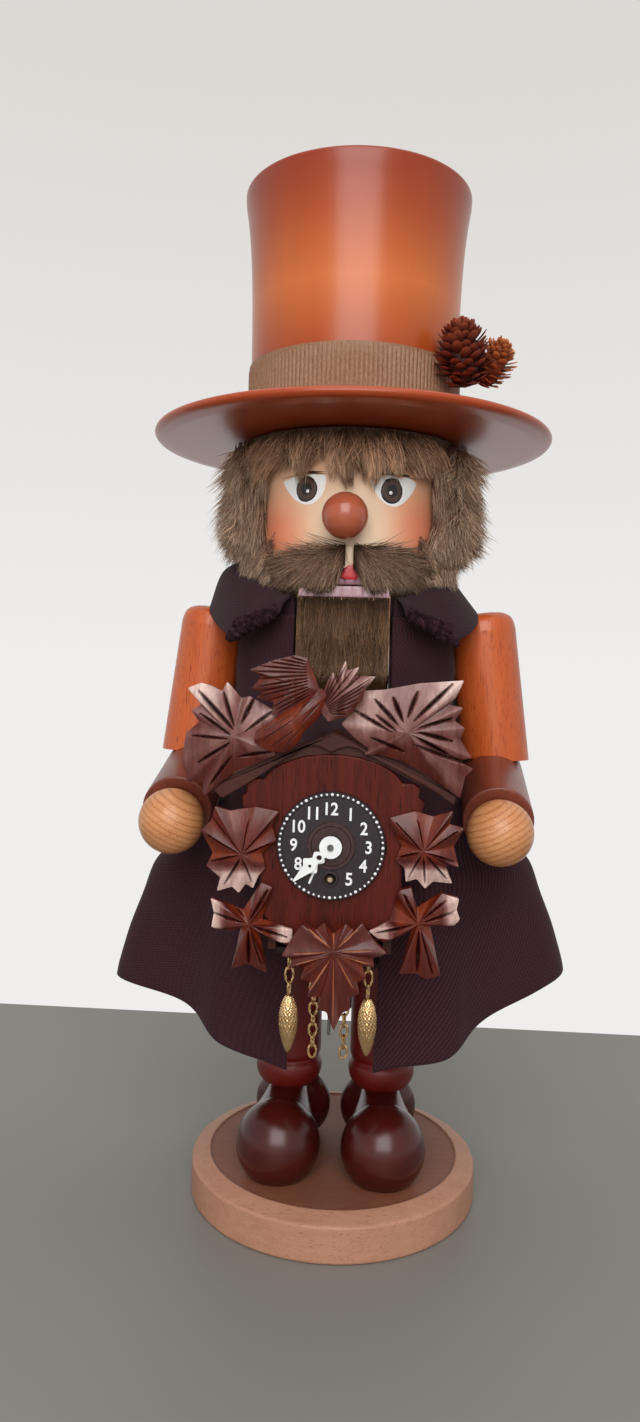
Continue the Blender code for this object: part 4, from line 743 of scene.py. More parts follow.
def toned(mean, spread, bunches, mine):
    """Tones of hairs about a mean, each with its bunch's own share."""
    return np.clip(chance.normal(mean, 0.2, len(mine)) + chance.normal(0, spread, bunches)[mine], 0, 1)


felt = speckled("hair_felt", srgb(72, 57, 48), srgb(104, 85, 72), (1, 1, 0.2), 900, 4.0, 0.9, 0.1)[0]
wig_fur = fur("wig_fur", srgb(106, 78, 63), srgb(178, 141, 116), srgb(229, 203, 178))
wig_heights, wig_radii = np.array(WIG_SHAPE).T
wig_section = [
    (41.4, 288.5), (41.4, 332.8), (48, 332.8), (50.6, 319), (51.4, 305), (50.4, 293), (46, 288.5),
]
wig_section = rounded(wig_section, 2, 5, ring=True)
wig_felt = backing("wig_felt", np.radians(np.linspace(-67, -293, 90)), wig_section, felt)
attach(wig_felt, "figure")
for side, start, stop in WIG_PARTS:
    bunches, count = WIG_BUNCHES, WIG_HAIRS
    bunch_turn = np.radians(between(start, stop, bunches))
    bunch_top = WIG_BOTTOM + 5 + 44 * between(0, 1, bunches) ** 0.9
    bunch_fall = between(7, 16, bunches)
    bunch_out = chance.normal(1, 2.8, bunches)
    bunch_lean = np.radians(chance.normal(0, 6, bunches))
    for edge in (-64, -296):
        close = np.clip(1 - np.abs(np.degrees(bunch_turn) - edge) / 14, 0, 1)
        bunch_lean += np.radians(7 * np.sign(edge + 180)) * close
    mine = locks(count, bunches)
    turn = bunch_turn[mine] + np.radians(chance.normal(0, 3.4, count))
    turn = np.clip(turn, radians(start), radians(stop))
    top = np.minimum(bunch_top[mine] + chance.normal(0, 2.4, count), HAIR_TOP)
    low = WIG_BOTTOM + between(-4, 4, bunches)[mine] + between(-1, 3, count)
    end = np.maximum(top - bunch_fall[mine] * between(0.75, 1.15, count), low)
    end = np.minimum(end, top - 5)
    last = turn + bunch_lean[mine] - 0.5 * (turn - bunch_turn[mine])
    last = last + np.radians(chance.normal(0, 1.2, count))
    deep = np.interp(top, wig_heights, wig_radii) - between(6, 10.5, count)
    out = np.interp(end, wig_heights, wig_radii) + bunch_out[mine] + chance.normal(0, 1.6, count)
    t = HAIR_STEPS
    path = round_head(
        turn[:, None] + (last - turn)[:, None] * t,
        deep[:, None] + (out - deep)[:, None] * t**0.9 + 0.8 * np.sin(np.pi * t),
        fallen(top, end, 1.15),
    )
    tone = toned(0.5, 0.2, bunches, mine)
    if side != "back":
        sign = -1 if side == "left" else 1
        temple, bunches = TEMPLE_HAIRS, TEMPLE_LOCKS
        lock = locks(temple, bunches)
        bunch_turn = between(55, 70, bunches)
        turn = bunch_turn[lock] + chance.normal(0, 1.4, temple)
        top = np.minimum(between(290, 331, bunches)[lock] + chance.normal(0, 1.5, temple), 332)
        deep = 42.6 + 0.45 * (bunch_turn - 55)[lock] + between(0, 4, temple)
        end = np.maximum(top - between(9, 18, temple), 278 + 6 * between(0, 1, temple))
        swing = chance.normal(-1, 3.5, bunches)[lock] + chance.normal(0, 1.2, temple)
        flick = chance.normal(2.4, 1.8, bunches)[lock] + chance.normal(0, 0.8, temple)
        more = round_head(
            sign * np.radians(turn[:, None] + swing[:, None] * t),
            deep[:, None] + flick[:, None] * t,
            fallen(top, end),
        )
        jaw_side, bunches = JAW_SIDE_HAIRS, JAW_SIDE_LOCKS
        lock = locks(jaw_side, bunches)
        turn = between(44, 68, bunches)[lock] + chance.normal(0, 1.4, jaw_side)
        top = between(277, 290, bunches)[lock] + chance.normal(0, 1.2, jaw_side)
        end = np.maximum(top - between(8, 13, jaw_side), 268 + 5 * between(0, 1, jaw_side))
        swing = chance.normal(4, 4, bunches)[lock] + chance.normal(0, 1.2, jaw_side)
        deep = 42.2 + 0.3 * np.maximum(turn - 55, 0) + between(0, 2, jaw_side)
        below = round_head(
            sign * np.radians(turn[:, None] + swing[:, None] * t),
            deep[:, None] + between(1, 5, bunches)[lock][:, None] * t,
            fallen(top, end),
        )
        path = np.concatenate([path, more, below])
        tone = np.concatenate([tone, np.clip(chance.normal(0.48, 0.2, temple + jaw_side), 0, 1)])
    wig = hairs("wig_" + side, path, between(0.12, 0.19, len(path)), tone, wig_fur)
    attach(wig, "figure")
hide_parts("hair_wig")

fringe_section = [(41.4, 325), (41.4, 332.8), (47.6, 332.8), (47.2, 328), (43.5, 325)]
fringe_section = rounded(fringe_section, 1, 4, ring=True)
fringe_turns = np.radians(np.linspace(-FRINGE_EDGE, FRINGE_EDGE, 60))
fringe_felt = backing("fringe_felt", fringe_turns, fringe_section, felt)
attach(fringe_felt, "figure")
bunches, count = FRINGE_BUNCHES, FRINGE_HAIRS
bunch_turn = np.radians(between(-FRINGE_EDGE, FRINGE_EDGE, bunches))
bunch_end = chance.normal(0.2, 3.8, bunches)
mine = locks(count, bunches)
turn = np.clip(bunch_turn[mine] + np.radians(chance.normal(0, 2.6, count)), radians(-64), radians(64))
top = between(323, HAIR_TOP, count)
fall = np.interp(turn * HEAD_RADIUS, *np.array(FRINGE_ENDS).T)
fall = fall + bunch_end[mine] + chance.normal(0, 1.2, count)
end = np.minimum(fall + 6 * between(0, 1, count) ** 2 - 1.5, top - 4)
last = turn * (1.1 + 0.25 * np.abs(turn)) + np.radians(chance.normal(0, 4, bunches))[mine]
last = last - 0.85 * (turn - bunch_turn[mine])
deep = between(43, 49.5, count) - 0.1 * (332 - top) - 9 * np.clip(np.abs(turn) - 0.85, 0, 1)
near = 42.4 + between(0, 1, count) * 6.5 + np.maximum(np.abs(turn) - 0.75, 0) * 22
t = HAIR_STEPS
path = round_head(
    turn[:, None] + (last - turn)[:, None] * t,
    deep[:, None] + (near - deep)[:, None] * t**1.3 + 1.4 * np.sin(np.pi * t),
    fallen(top, end),
)
tone = toned(0.48, 0.26, bunches, mine)
fringe_fur = fur("fringe_fur", srgb(94, 68, 54), srgb(202, 157, 126), srgb(240, 206, 174))
fringe = hairs("fringe", path, between(0.10, 0.16, count), tone, fringe_fur)
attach(fringe, "figure")
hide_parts("hair_fringe")

moustache_fur = fur("moustache_fur", srgb(78, 57, 47), srgb(134, 105, 87), srgb(196, 169, 144))
for side, sign in SIDES:
    bunches, count = MOUSTACHE_BUNCHES, MOUSTACHE_HAIRS
    layer = between(0, 1, bunches)
    bunch_out = 1.7 + (4 + 20 * (1 - layer)) * between(0, 1, bunches)
    bunch_top = 285.6 - 0.22 * bunch_out - (3 + 4 * layer) * between(0, 1, bunches)
    bunch_reach = (25 - 9 * layer) * between(0.75, 1.15, bunches)
    bunch_bend = np.radians(12 + 54 * layer + chance.normal(0, 8, bunches))
    mine = locks(count, bunches)
    out = np.maximum(bunch_out[mine] + chance.normal(0, 1.2, count), 1.6)
    top = bunch_top[mine] + chance.normal(0, 0.9, count)
    bend = bunch_bend[mine] + np.radians(chance.normal(0, 6, count))
    reach = bunch_reach[mine] * between(0.55, 1.1, count)
    wisp = np.arange(count) < MOUSTACHE_WISPS
    bend = np.where(wisp, np.radians(chance.normal(-6, 9, count)), bend)
    reach = np.where(wisp, between(10, 20, count), reach)
    reach = np.minimum(reach, (top - 263.5 - 4 * between(0, 1, count)) / np.maximum(np.sin(bend), 0.1))
    far = np.minimum(out + reach * np.cos(bend), 46 - 5 * between(0, 1, count))
    end = top - reach * np.sin(bend)
    swell = between(0.6, 4.6, count) * np.clip(1.25 - out / 40, 0.5, 1)
    t = HAIR_STEPS
    across = out[:, None] + (far - out)[:, None] * t**0.9
    height = fallen(top, end, 1.08)
    lift = 1 + swell[:, None] * (0.35 + np.sin(np.pi * (0.15 + 0.7 * t))) + 0.8 * t**2
    path = on_head(MOUTH_MIDDLE + sign * across, height, lift)
    # The right wing is toned a little darker than the left, as painted shade.
    tone = toned(0.46 - 0.06 * sign, 0.18, bunches, mine)
    wing = hairs("moustache_hair_" + side, path, between(0.11, 0.17, count), tone, moustache_fur)
    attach(wing, "figure")
    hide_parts("moustache_" + side)

beard_fur = fur("beard_fur", srgb(55, 39, 30), srgb(104, 78, 59), srgb(154, 122, 95))
beard_section = [(-17.4, 236), (-17.4, 264), (17.4, 264), (17.4, 236)]
beard_felt = slab("beard_felt", rounded(beard_section, 2, 5, ring=True), -42.6, -44.6, felt, "y", 0.6)
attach(beard_felt, "jaw")
bunches, count = BEARD_BUNCHES, BEARD_HAIRS
bunch_across = between(-BEARD_HALF, BEARD_HALF, bunches)
mine = locks(count, bunches)
across = np.clip(bunch_across[mine] + chance.normal(0, 1.6, count), -18.3, 18.3)
top = 265.2 - 26 * between(0, 1, count) ** 1.3
end = np.minimum(top - between(9, 20, count), 250)
end = np.maximum(end, 231.2 + chance.normal(0, 0.9, bunches)[mine] + 1.6 * between(0, 1, count))
last = across + 0.04 * across + chance.normal(0, 0.9, bunches)[mine] - 0.4 * (across - bunch_across[mine])
last = np.clip(last, -18.5, 18.5)
front = between(-45.2, -44, count)
bulge = between(0.4, 2.6, count)
hang = np.clip((238 - end) / 7, 0, 1)
wave = 0.45 * np.sin(TAU * (1.2 * HAIR_STEPS + between(0, 1, bunches)[mine][:, None]))
t = HAIR_STEPS
path = np.stack(
    [
        np.clip(across[:, None] + (last - across)[:, None] * t + wave, -BEARD_HALF, BEARD_HALF),
        front[:, None] - bulge[:, None] * np.sin(np.pi * (0.1 + 0.75 * t)) - 4.6 * hang[:, None] * t**2,
        fallen(top, end),
    ],
    axis=-1,
)
tone = toned(0.46, 0.2, bunches, mine)
beard = hairs("beard_hair", path, between(0.12, 0.18, count), tone, beard_fur)
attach(beard, "jaw")
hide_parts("beard")

# Hat: a thin turned brim and a tall turned crown that widens to the top, sprayed orange-brown and lacquered.
# The spray is redder at the crown's foot and lip and lighter half way up.
BRIM_PROFILE = [
    (0, 333.5), (80, 333.5), (85.6, 334.4), (87, 336.3), (86, 338.2), (82, 338.9), (0, 338.9),
]
CROWN_PROFILE = [
    (45.5, 339.2), (45.5, 360), (45.6, 380), (45.9, 398), (46.7, 415), (47.9, 428), (49.2, 437),
]

hat_paint, tree, shader = finish("hat_paint", 0.32, 0.32, coat=0.22)
shader.inputs["Coat Roughness"].default_value = 0.2
height = node(tree, "SeparateXYZ", {0: node(tree, "TexCoord").outputs["Object"]}).outputs[2]
rise = node(tree, "MapRange", {"Value": height, "From Min": 0.333, "From Max": 0.442}).outputs[0]
tones = [(0.0, srgb(150, 58, 24)), (0.05, srgb(172, 68, 24)), (0.3, srgb(164, 68, 26))]
tones += [(0.55, srgb(204, 108, 52)), (0.8, srgb(170, 72, 30)), (1.0, srgb(144, 50, 22))]
spray = ramp(tree, rise, tones)
cloud = ramp(tree, grain(tree, (1, 1, 0.3), 60, 3.0), [(0.3, (0.9, 0.88, 0.86, 1)), (0.7, (1, 1, 1, 1))])
tree.links.new(mixed(tree, 1.0, spray, cloud, "MULTIPLY"), shader.inputs["Base Color"])
relief(tree, shader, grain(tree, (1, 1, 1), 600, 2.0), 0.08)
brim = turning("brim_turned", rounded(BRIM_PROFILE, 1.6), 200, hat_paint)
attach(brim, "figure")
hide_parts("hat_brim")
crown_line = flowing(CROWN_PROFILE, 60)
crown_top = rounded([crown_line[-1], (49.5, 441.3), (47.6, 442), (0, 442)], 1.4)
crown = turning("crown_turned", np.vstack([[(0, 339.2)], crown_line, crown_top[1:]]), 200, hat_paint)
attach(crown, "figure")
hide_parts("hat_crown")

# Hat ribbon: a strip of ribbed ribbon round the foot of the crown, glued with its ends lapped behind.
# Its fine ribs stand upright and its two edges are woven firmer.
RIBBON_LOW = 345.2
RIBBON_HIGH = 366.8
RIBBON_RADIUS = 46.2
RIBBON_REAR = 45.7
RIBS = 150

ribbon_cloth = speckled(
    "ribbon_cloth", srgb(126, 90, 66), srgb(154, 117, 90), (1, 1, 0.6), 1500, 2.0, 0.5, 0.3
)[0]
turn = np.arange(RIBS * 6) * TAU / (RIBS * 6)
across = np.array([0, 0.03, 0.06, 0.1, 0.3, 0.5, 0.7, 0.9, 0.94, 0.97, 1.0])
firm = np.interp(across, [0, 0.05, 0.1, 0.9, 0.95, 1], [0.12, 0.12, 1, 1, 0.12, 0.12])
rib = 0.5 * firm[:, None] * np.abs(np.cos(turn * RIBS / 2)) + 0.12 * (1 - firm[:, None])
lap = 0.7 * (np.abs(turn - np.pi / 2) < 0.09)
outside = RIBBON_RADIUS + rib + lap
height = RIBBON_LOW + (RIBBON_HIGH - RIBBON_LOW) * across[:, None] + 0.15 * np.sin(3 * turn)
face = np.stack([outside * np.cos(turn), outside * np.sin(turn), height], axis=-1)
rear = np.stack([RIBBON_REAR * np.cos(turn), RIBBON_REAR * np.sin(turn), np.zeros_like(turn)], axis=-1)
rear = np.stack([rear, rear])
rear[:, :, 2] = height[[-1, 0]]
points = np.concatenate([face, rear])
ribbon = piece("ribbon", points, grid_faces(*points.shape[:2], True, True), ribbon_cloth, crease=75)
flat = (TAU * RIBBON_RADIUS * MM, (RIBBON_HIGH - RIBBON_LOW) * MM)
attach(ribbon, "figure")
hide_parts("hat_band")

# Cones: two small dried conifer cones glued to the ribbon, the larger one dark and the smaller one paler.
# Woody scales overlap in spirals round a core and lift away from it at their tips.
GOLDEN_TURN = radians(137.508)
CONES = (
    ("large", (45.3, -35.1, 364.5), 10.6, 25, (-0.12, -0.25, 1), 130, (srgb(58, 19, 13), srgb(150, 72, 50))),
    ("small", (58, -28.6, 363), 8.2, 19, (0.55, -0.6, 1), 84, (srgb(118, 50, 22), srgb(208, 122, 70))),
)

for side, middle, radius, length, axis, count, tints in CONES:
    scale_wood, tree, shader = finish("cone_scale_" + side, 0.55, 0.3)
    spot = node(tree, "SeparateXYZ", {0: node(tree, "UVMap", uv_map="scale_way").outputs[0]})
    tip = ramp(tree, spot.outputs[0], [(0.2, tints[0]), (1.0, tints[1])])
    fibre = ramp(tree, grain(tree, (1, 1, 1), 900), [(0.3, (0.7, 0.66, 0.62, 1)), (0.7, (1.1, 1.1, 1.1, 1))])
    tree.links.new(mixed(tree, 1.0, tip, fibre, "MULTIPLY"), shader.inputs["Base Color"])
    axis = np.array(axis) / np.linalg.norm(axis)
    first = np.cross(axis, [0, 1, 0])
    first /= np.linalg.norm(first)
    second = np.cross(axis, first)
    share = (np.arange(count) + 0.5) / count
    turn = np.arange(count) * GOLDEN_TURN + chance.normal(0, 0.1, count)
    outward = np.cos(turn)[:, None] * first + np.sin(turn)[:, None] * second
    girth = np.sin(np.pi * (0.12 + 0.84 * share)) ** 0.8
    tilt = np.radians(4 + 56 * share**1.3 + chance.normal(0, 6, count))[:, None]
    along = outward * np.cos(tilt) + axis * np.sin(tilt)
    normal = axis * np.cos(tilt) - outward * np.sin(tilt)
    across = np.cross(along, normal)
    core = np.array(middle) + axis * (length * (share - 0.52) * 0.94)[:, None]
    core = core + outward * (radius * girth * 0.42)[:, None]
    theta = np.linspace(0, np.pi, 7)[:, None]
    phi = np.arange(8) * TAU / 8
    wide = (0.27 * radius * (0.5 + 0.5 * girth))[:, None, None]
    reach = (radius * 0.84 * (0.35 + 0.65 * girth) * between(0.86, 1.08, count))[:, None, None]
    lip = 0.5 * (1 - np.cos(theta))
    flat = np.sin(theta) ** 0.8 * (0.4 + 0.6 * lip) * (1.15 - 0.35 * lip**4)
    points = (
        core[:, None, None]
        + along[:, None, None] * (reach * lip)[..., None]
        + across[:, None, None] * (wide * flat * np.cos(phi))[..., None]
        + normal[:, None, None] * (0.15 * wide * flat * np.sin(phi) + 0.1 * reach * lip**3)[..., None]
    )
    faces = grid_faces(7, 8, round_columns=True)
    faces = (np.arange(count)[:, None, None] * 56 + faces).reshape(-1, 4)
    uv = np.stack(np.broadcast_arrays(lip * np.ones(8), chance.random(count)[:, None, None]), axis=-1)
    scales = piece("cone_scales_" + side, points, faces, scale_wood, uv, crease=60, uv_name="scale_way")
    core_line = [(0, -0.5), (0.35, -0.45), (0.62, -0.2), (0.6, 0.1), (0.35, 0.4), (0, 0.48)]
    core_line = flowing(core_line, 24) * (radius, length)
    core_line[:, 0] = np.abs(core_line[:, 0])
    heart = turning("cone_core_" + side, core_line, 24, scale_wood, at=middle, axis=axis)
    for made in (scales, heart):
        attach(made, "figure")
    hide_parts("hat_cone_" + side)

# Arms: turned upper arms stained orange, brown sleeves pointing forward, and natural wood balls for hands.
# A dowel holds each shoulder to the body, and the parts of an arm are glued end to end.
SHOULDER = np.array([59.0, 0, 262.5])
ARM_TILT = radians(7.7)
ARM_PROFILE = [
    (0, 0), (6, -0.2), (10.1, -1), (13.2, -3.2), (14.5, -7.5), (14.6, -13), (14.6, -45), (14.6, -76),
]
ELBOW = np.array([67.0, 10, 191])
WRIST = np.array([63.6, -57, 178.2])
SLEEVE_RADIUS = 13.9
ARM_END = 198.3
HAND_RADIUS = 12.7
HAND_REACH = 13.0

arm_stain = wooden(
    "arm_stained", srgb(204, 98, 44), srgb(178, 76, 32), srgb(136, 52, 22), (1, 1, 0.06), 0.36, 0.45, 0.1
)[0]
sleeve_stain = wooden(
    "sleeve_stained", srgb(124, 58, 40), srgb(98, 42, 30), srgb(62, 24, 18), (1, 0.1, 1), 0.38, 0.45, 0.1
)[0]
hand_wood, tree, shader = wooden(
    "hand_wood", srgb(210, 147, 98), srgb(192, 126, 80), srgb(162, 100, 60), (0.3, 1, 1), 0.4, 0.45, 0.1
)
place = node(tree, "TexCoord").outputs["Object"]
shift = node(tree, "Mapping", {"Vector": place, "Location": (0, 0, -0.29)})
rings = node(
    tree,
    "TexWave",
    {"Vector": shift.outputs[0], "Scale": 140, "Distortion": 2.5, "Detail": 2, "Detail Scale": 0.5},
    wave_type="RINGS",
    rings_direction="Y",
)
tones = [(0.0, (1, 1, 1, 1)), (0.75, (0.94, 0.9, 0.86, 1)), (1.0, (0.66, 0.54, 0.44, 1))]
year = ramp(tree, rings.outputs["Fac"], tones)
plain = shader.inputs["Base Color"].links[0].from_socket
tree.links.new(mixed(tree, 0.8, plain, year, "MULTIPLY"), shader.inputs["Base Color"])
for side, sign in SIDES:
    mirror = np.array([sign, 1, 1])
    lean = np.array([-sign * np.sin(ARM_TILT), 0, np.cos(ARM_TILT)])
    points = turned(flowing(ARM_PROFILE, 90), 96, SHOULDER * mirror, lean)
    elbow, wrist = ELBOW * mirror, WRIST * mirror
    reach = (wrist - elbow) / np.linalg.norm(wrist - elbow)
    across = np.cross(reach, [0, 0, 1])
    across /= np.linalg.norm(across)
    upper = np.cross(across, reach)
    aside = np.clip((points - elbow) @ across / (SLEEVE_RADIUS + 0.3), -1, 1)
    along = (points - elbow) @ (reach * (1, 1, 0)) / np.dot(reach * (1, 1, 0), reach * (1, 1, 0))
    saddle = elbow[2] + along * reach[2] + upper[2] * (SLEEVE_RADIUS + 0.3) * np.sqrt(1 - aside**2)
    short = np.maximum(np.maximum(saddle, ARM_END) - points[..., 2], 0)
    points = points + (short / lean[2])[..., None] * lean
    arm = piece("arm_turned_" + side, points, grid_faces(90, 96, round_columns=True), arm_stain)
    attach(arm, "figure")
    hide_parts("upper_arm_" + side)
    span = np.linalg.norm(wrist - elbow)
    wide = SLEEVE_RADIUS
    sleeve_line = [(0, -7), (7.5, -6.8), (11.6, -5.2), (13.5, -1.5)]
    sleeve_line += [(wide, 4), (wide, span * 0.5), (wide, span)]
    cuff = rounded([(wide, span - 6), (wide, span), (9, span), (8, span - 1.5), (0, span - 1.5)], 0.9)
    line = np.vstack([flowing(sleeve_line, 60)[:-9], cuff])
    sleeve = turning("sleeve_turned_" + side, line, 96, sleeve_stain, at=elbow, axis=reach)
    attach(sleeve, "figure")
    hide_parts("forearm_" + side)
    turn = np.linspace(0, np.pi, 48)
    ball = np.stack([HAND_RADIUS * np.sin(turn), HAND_RADIUS * np.cos(turn)], axis=1)
    palm = wrist + HAND_REACH * reach
    hand = turning("hand_ball_" + side, ball, 72, hand_wood, at=palm, axis=(1, 0, 0), side=(0, 0, 1))
    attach(hand, "figure")
    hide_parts("hand_" + side)

# Coat: one panel of dark aubergine twill, hemmed, wrapped over the shoulders and open down the front.
# It is fitted to the body and flares below the waist; slits let the arm dowels and the lever through.
COAT_TOP_ROWS = [(258, 42.2), (252, 43), (245, 44.4), (238, 45), (232, 45), (220, 45), (205, 45)]
COAT_GAP = 1.4
OPENING_TOP = 40.4
OPENING_HEM = 34.0
BODY_FOOT = 112.0
WAIST = 205.0
HEM_TURNS = [0, 25, 44, 64, 80, 100, 125, 150, 180]
HEM_OUT = [9, 13, 24, 35, 50, 52, 43, 27, 17]
HEM_LEFT = [39, 38, 25, 16, 13.5, 14, 26, 42, 53]
HEM_RIGHT = [39, 37, 29, 17, 2, 2, 22, 42, 53]
EARLY_FLARE = ([0, 0.2, 0.4, 0.6, 0.8, 1], [0, 0.2, 0.46, 0.68, 0.86, 1])
SIDE_FLARE = (
    [0, 0.14, 0.23, 0.28, 0.33, 0.42, 0.51, 0.57, 0.65, 0.8, 0.94, 1],
    [0, 0.04, 0.1, 0.15, 0.23, 0.48, 0.7, 0.75, 0.79, 0.905, 0.98, 1],
)
LATE_FLARE = ([0, 0.3, 0.45, 0.6, 0.8, 1], [0, 0.08, 0.4, 0.62, 0.84, 1])
SIDE_FULLNESS = ([42, 58, 70, 82, 98, 108, 125, 150, 170], [0, 2, 3.5, 0.5, 2, 11, 13, 5, 0])
CLOTH = 1.3
SLIT_TOP = 249
ARMHOLE_FOOT = 232
ARMHOLE_AT = 0.59
ARMHOLE_HALF = 0.06
VENT_HALF = 0.198


def eased(values, table, spread):
    """A table read with its corners softened, as the mean of seven readings round each value."""
    shifts = np.linspace(-spread, spread, 7)
    return sum(np.interp(values + shift, *table) for shift in shifts) / 7


def coat_surface(turn, top, drop):
    """The coat's middle: turn runs from left edge (-1) by the back (0) to right edge (1), drop down it."""
    heights, radii = np.array(COAT_TOP_ROWS[::-1]).T
    height, radius, drop = top[:, None], np.interp(top, heights, radii)[:, None] + COAT_GAP, drop[:, None]
    gap = OPENING_TOP + (OPENING_HEM - OPENING_TOP) * drop
    edge = np.arcsin(gap / 2 / (radius + 8 * drop))
    around = np.pi - np.abs(turn) * (np.pi - edge)
    degrees = np.degrees(around)
    early = eased(degrees, ([0, 100, 118, 180], [0, 0, 1, 1]), 6)
    late = eased(degrees, ([0, 46, 66, 180], [1, 1, 0, 0]), 6)
    flare = early * eased(drop, EARLY_FLARE, 0.06) + late * eased(drop, LATE_FLARE, 0.06)
    flare = flare + (1 - early - late) * eased(drop, SIDE_FLARE, 0.04)
    flare = flare * np.clip(drop * 8, 0, 1)
    hem = 45 + eased(degrees, (HEM_TURNS, HEM_OUT), 4)
    left, right = (eased(degrees, (HEM_TURNS, falls), 7) for falls in (HEM_LEFT, HEM_RIGHT))
    low = BODY_FOOT - np.where(turn < 0, left, right)
    quiet = 0.3 + 0.7 * np.clip((degrees - 26) / 14, 0, 1)
    folds = 2.6 * np.cos(9 * around) + 2.4 * np.sin(14 * around + 2 * np.sin(3 * around) + 3 * np.sign(turn))
    away = radius + (hem - radius) * flare + drop**1.4 * quiet * folds
    fall = height + (low - height) * drop
    away = away + 0.5 * np.sin(np.pi * drop) * np.sin(23 * around + 9 * drop)
    full = eased(degrees, SIDE_FULLNESS, 6) * eased(fall, ([150, 175, 250, 254], [0, 1, 1, 0.6]), 2)
    away = away + full * (1 - np.clip(1.6 * drop, 0, 1))
    return np.stack([np.sign(turn) * away * np.sin(around), -away * np.cos(around), fall], axis=-1)


def spans(points, axis):
    """Running length along one direction of a grid of points."""
    step = np.linalg.norm(np.diff(points, axis=axis), axis=2)
    start = np.zeros_like(np.take(step, [0], axis=axis))
    return np.concatenate([start, np.cumsum(step, axis=axis)], axis=axis)


def twill(name, dark, light, pitch):
    """Twill over weave coordinates in millimetres: slanting ribs broken at every thread, and loose lint."""
    made, tree, shader = finish(name, 0.85, 0.12)
    weave = node(tree, "UVMap", uv_map="weave").outputs[0]
    slant = node(tree, "Mapping", {"Vector": weave, "Rotation": (0, 0, radians(58))})
    ribs = {"Vector": slant.outputs[0], "Scale": 0.314 / pitch, "Distortion": 0.4}
    rib = node(tree, "TexWave", ribs).outputs["Fac"]
    cross = node(tree, "Mapping", {"Vector": weave, "Rotation": (0, 0, radians(-32))})
    dashes = {"Vector": cross.outputs[0], "Scale": 0.314 / (2.1 * pitch), "Distortion": 1.5}
    dash = node(tree, "TexWave", dashes)
    lint = node(tree, "TexNoise", {"Vector": weave, "Scale": 0.9, "Detail": 4}).outputs[0]
    broken = node(tree, "MapRange", {"Value": dash.outputs["Fac"], "To Min": 0.55}).outputs[0]
    raised = node(tree, "Math", {0: rib, 1: broken}, operation="MULTIPLY").outputs[0]
    worn = node(tree, "Math", {0: raised, 1: lint}, operation="MULTIPLY").outputs[0]
    tree.links.new(ramp(tree, worn, [(0.05, dark), (0.5, light)]), shader.inputs["Base Color"])
    shader.inputs["Sheen Weight"].default_value = 0.05
    shader.inputs["Sheen Roughness"].default_value = 0.5
    relief(tree, shader, raised, 0.5, 0.0003)
    return made


def sewn(name, middle, faces, weft, warp, material):
    """Cloth of even thickness about a middle surface, with its weave coordinates; also its flat size."""
    weave = np.stack([weft - weft[:, weft.shape[1] // 2, None], warp], axis=-1)
    made = piece(name, middle, faces, material, weave, closed=False, crease=180, uv_name="weave")
    cloth = made.modifiers.new("cloth", "SOLIDIFY")
    cloth.thickness = CLOTH * MM
    cloth.offset = 0
    return made, (float(np.ptp(weft, axis=1).max()) * MM, float(warp.max()) * MM)


coat_twill = twill("coat_twill", srgb(47, 25, 31), srgb(68, 41, 48), 0.95)
turn = np.linspace(-1, 1, 301)
top = np.concatenate([np.linspace(COAT_TOP_ROWS[0][0], WAIST, 36), np.full(100, WAIST)])
drop = np.concatenate([np.zeros(36), np.linspace(0, 1, 101)[1:]])
middle = coat_surface(turn, top, drop)
quads = grid_faces(*middle.shape[:2])
corner_turn = np.broadcast_to(turn, middle.shape[:2]).ravel()[quads].mean(axis=1)
corner_top = middle[..., 2].ravel()[quads].mean(axis=1)
corner_drop = np.broadcast_to(drop[:, None], middle.shape[:2]).ravel()[quads].mean(axis=1)
below = corner_top < SLIT_TOP
armhole = (np.abs(np.abs(corner_turn) - ARMHOLE_AT) < ARMHOLE_HALF) & (corner_top > ARMHOLE_FOOT)
vent = (np.abs(corner_turn) < VENT_HALF) & (corner_drop < 0.1)
kept = ~(below & (armhole | vent))
coat, flat = sewn("coat_cloth", middle, quads[kept], spans(middle, 1), spans(middle, 0), coat_twill)
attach(coat, "figure")
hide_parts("coat")

# Collar: a second strip of the twill, standing round the neck and turned down to two points in front.
# Its front edges are bound with a knotted loop-yarn braid sewn along the fold-over.
COLLAR_TURNS = [29, 36, 45, 46, 58, 75, 86, 100, 113, 150, 180]
COLLAR_FALL = [14.5, 12.7, 10.5, 10.2, 6.6, 2.5, 1, 0, 0, 0, 0]
COLLAR_TIPS = [4, -1, -6.4, -7, -2.5, 4.5, 8, 7, -1.5, -1, 2]
COLLAR_OUT = [11, 17, 20.6, 21, 20, 18, 17, 16, 16, 15, 14]
COLLAR_FOOT = 255.2
COLLAR_INNER = 42.4
BRAID_RADIUS = 2.3


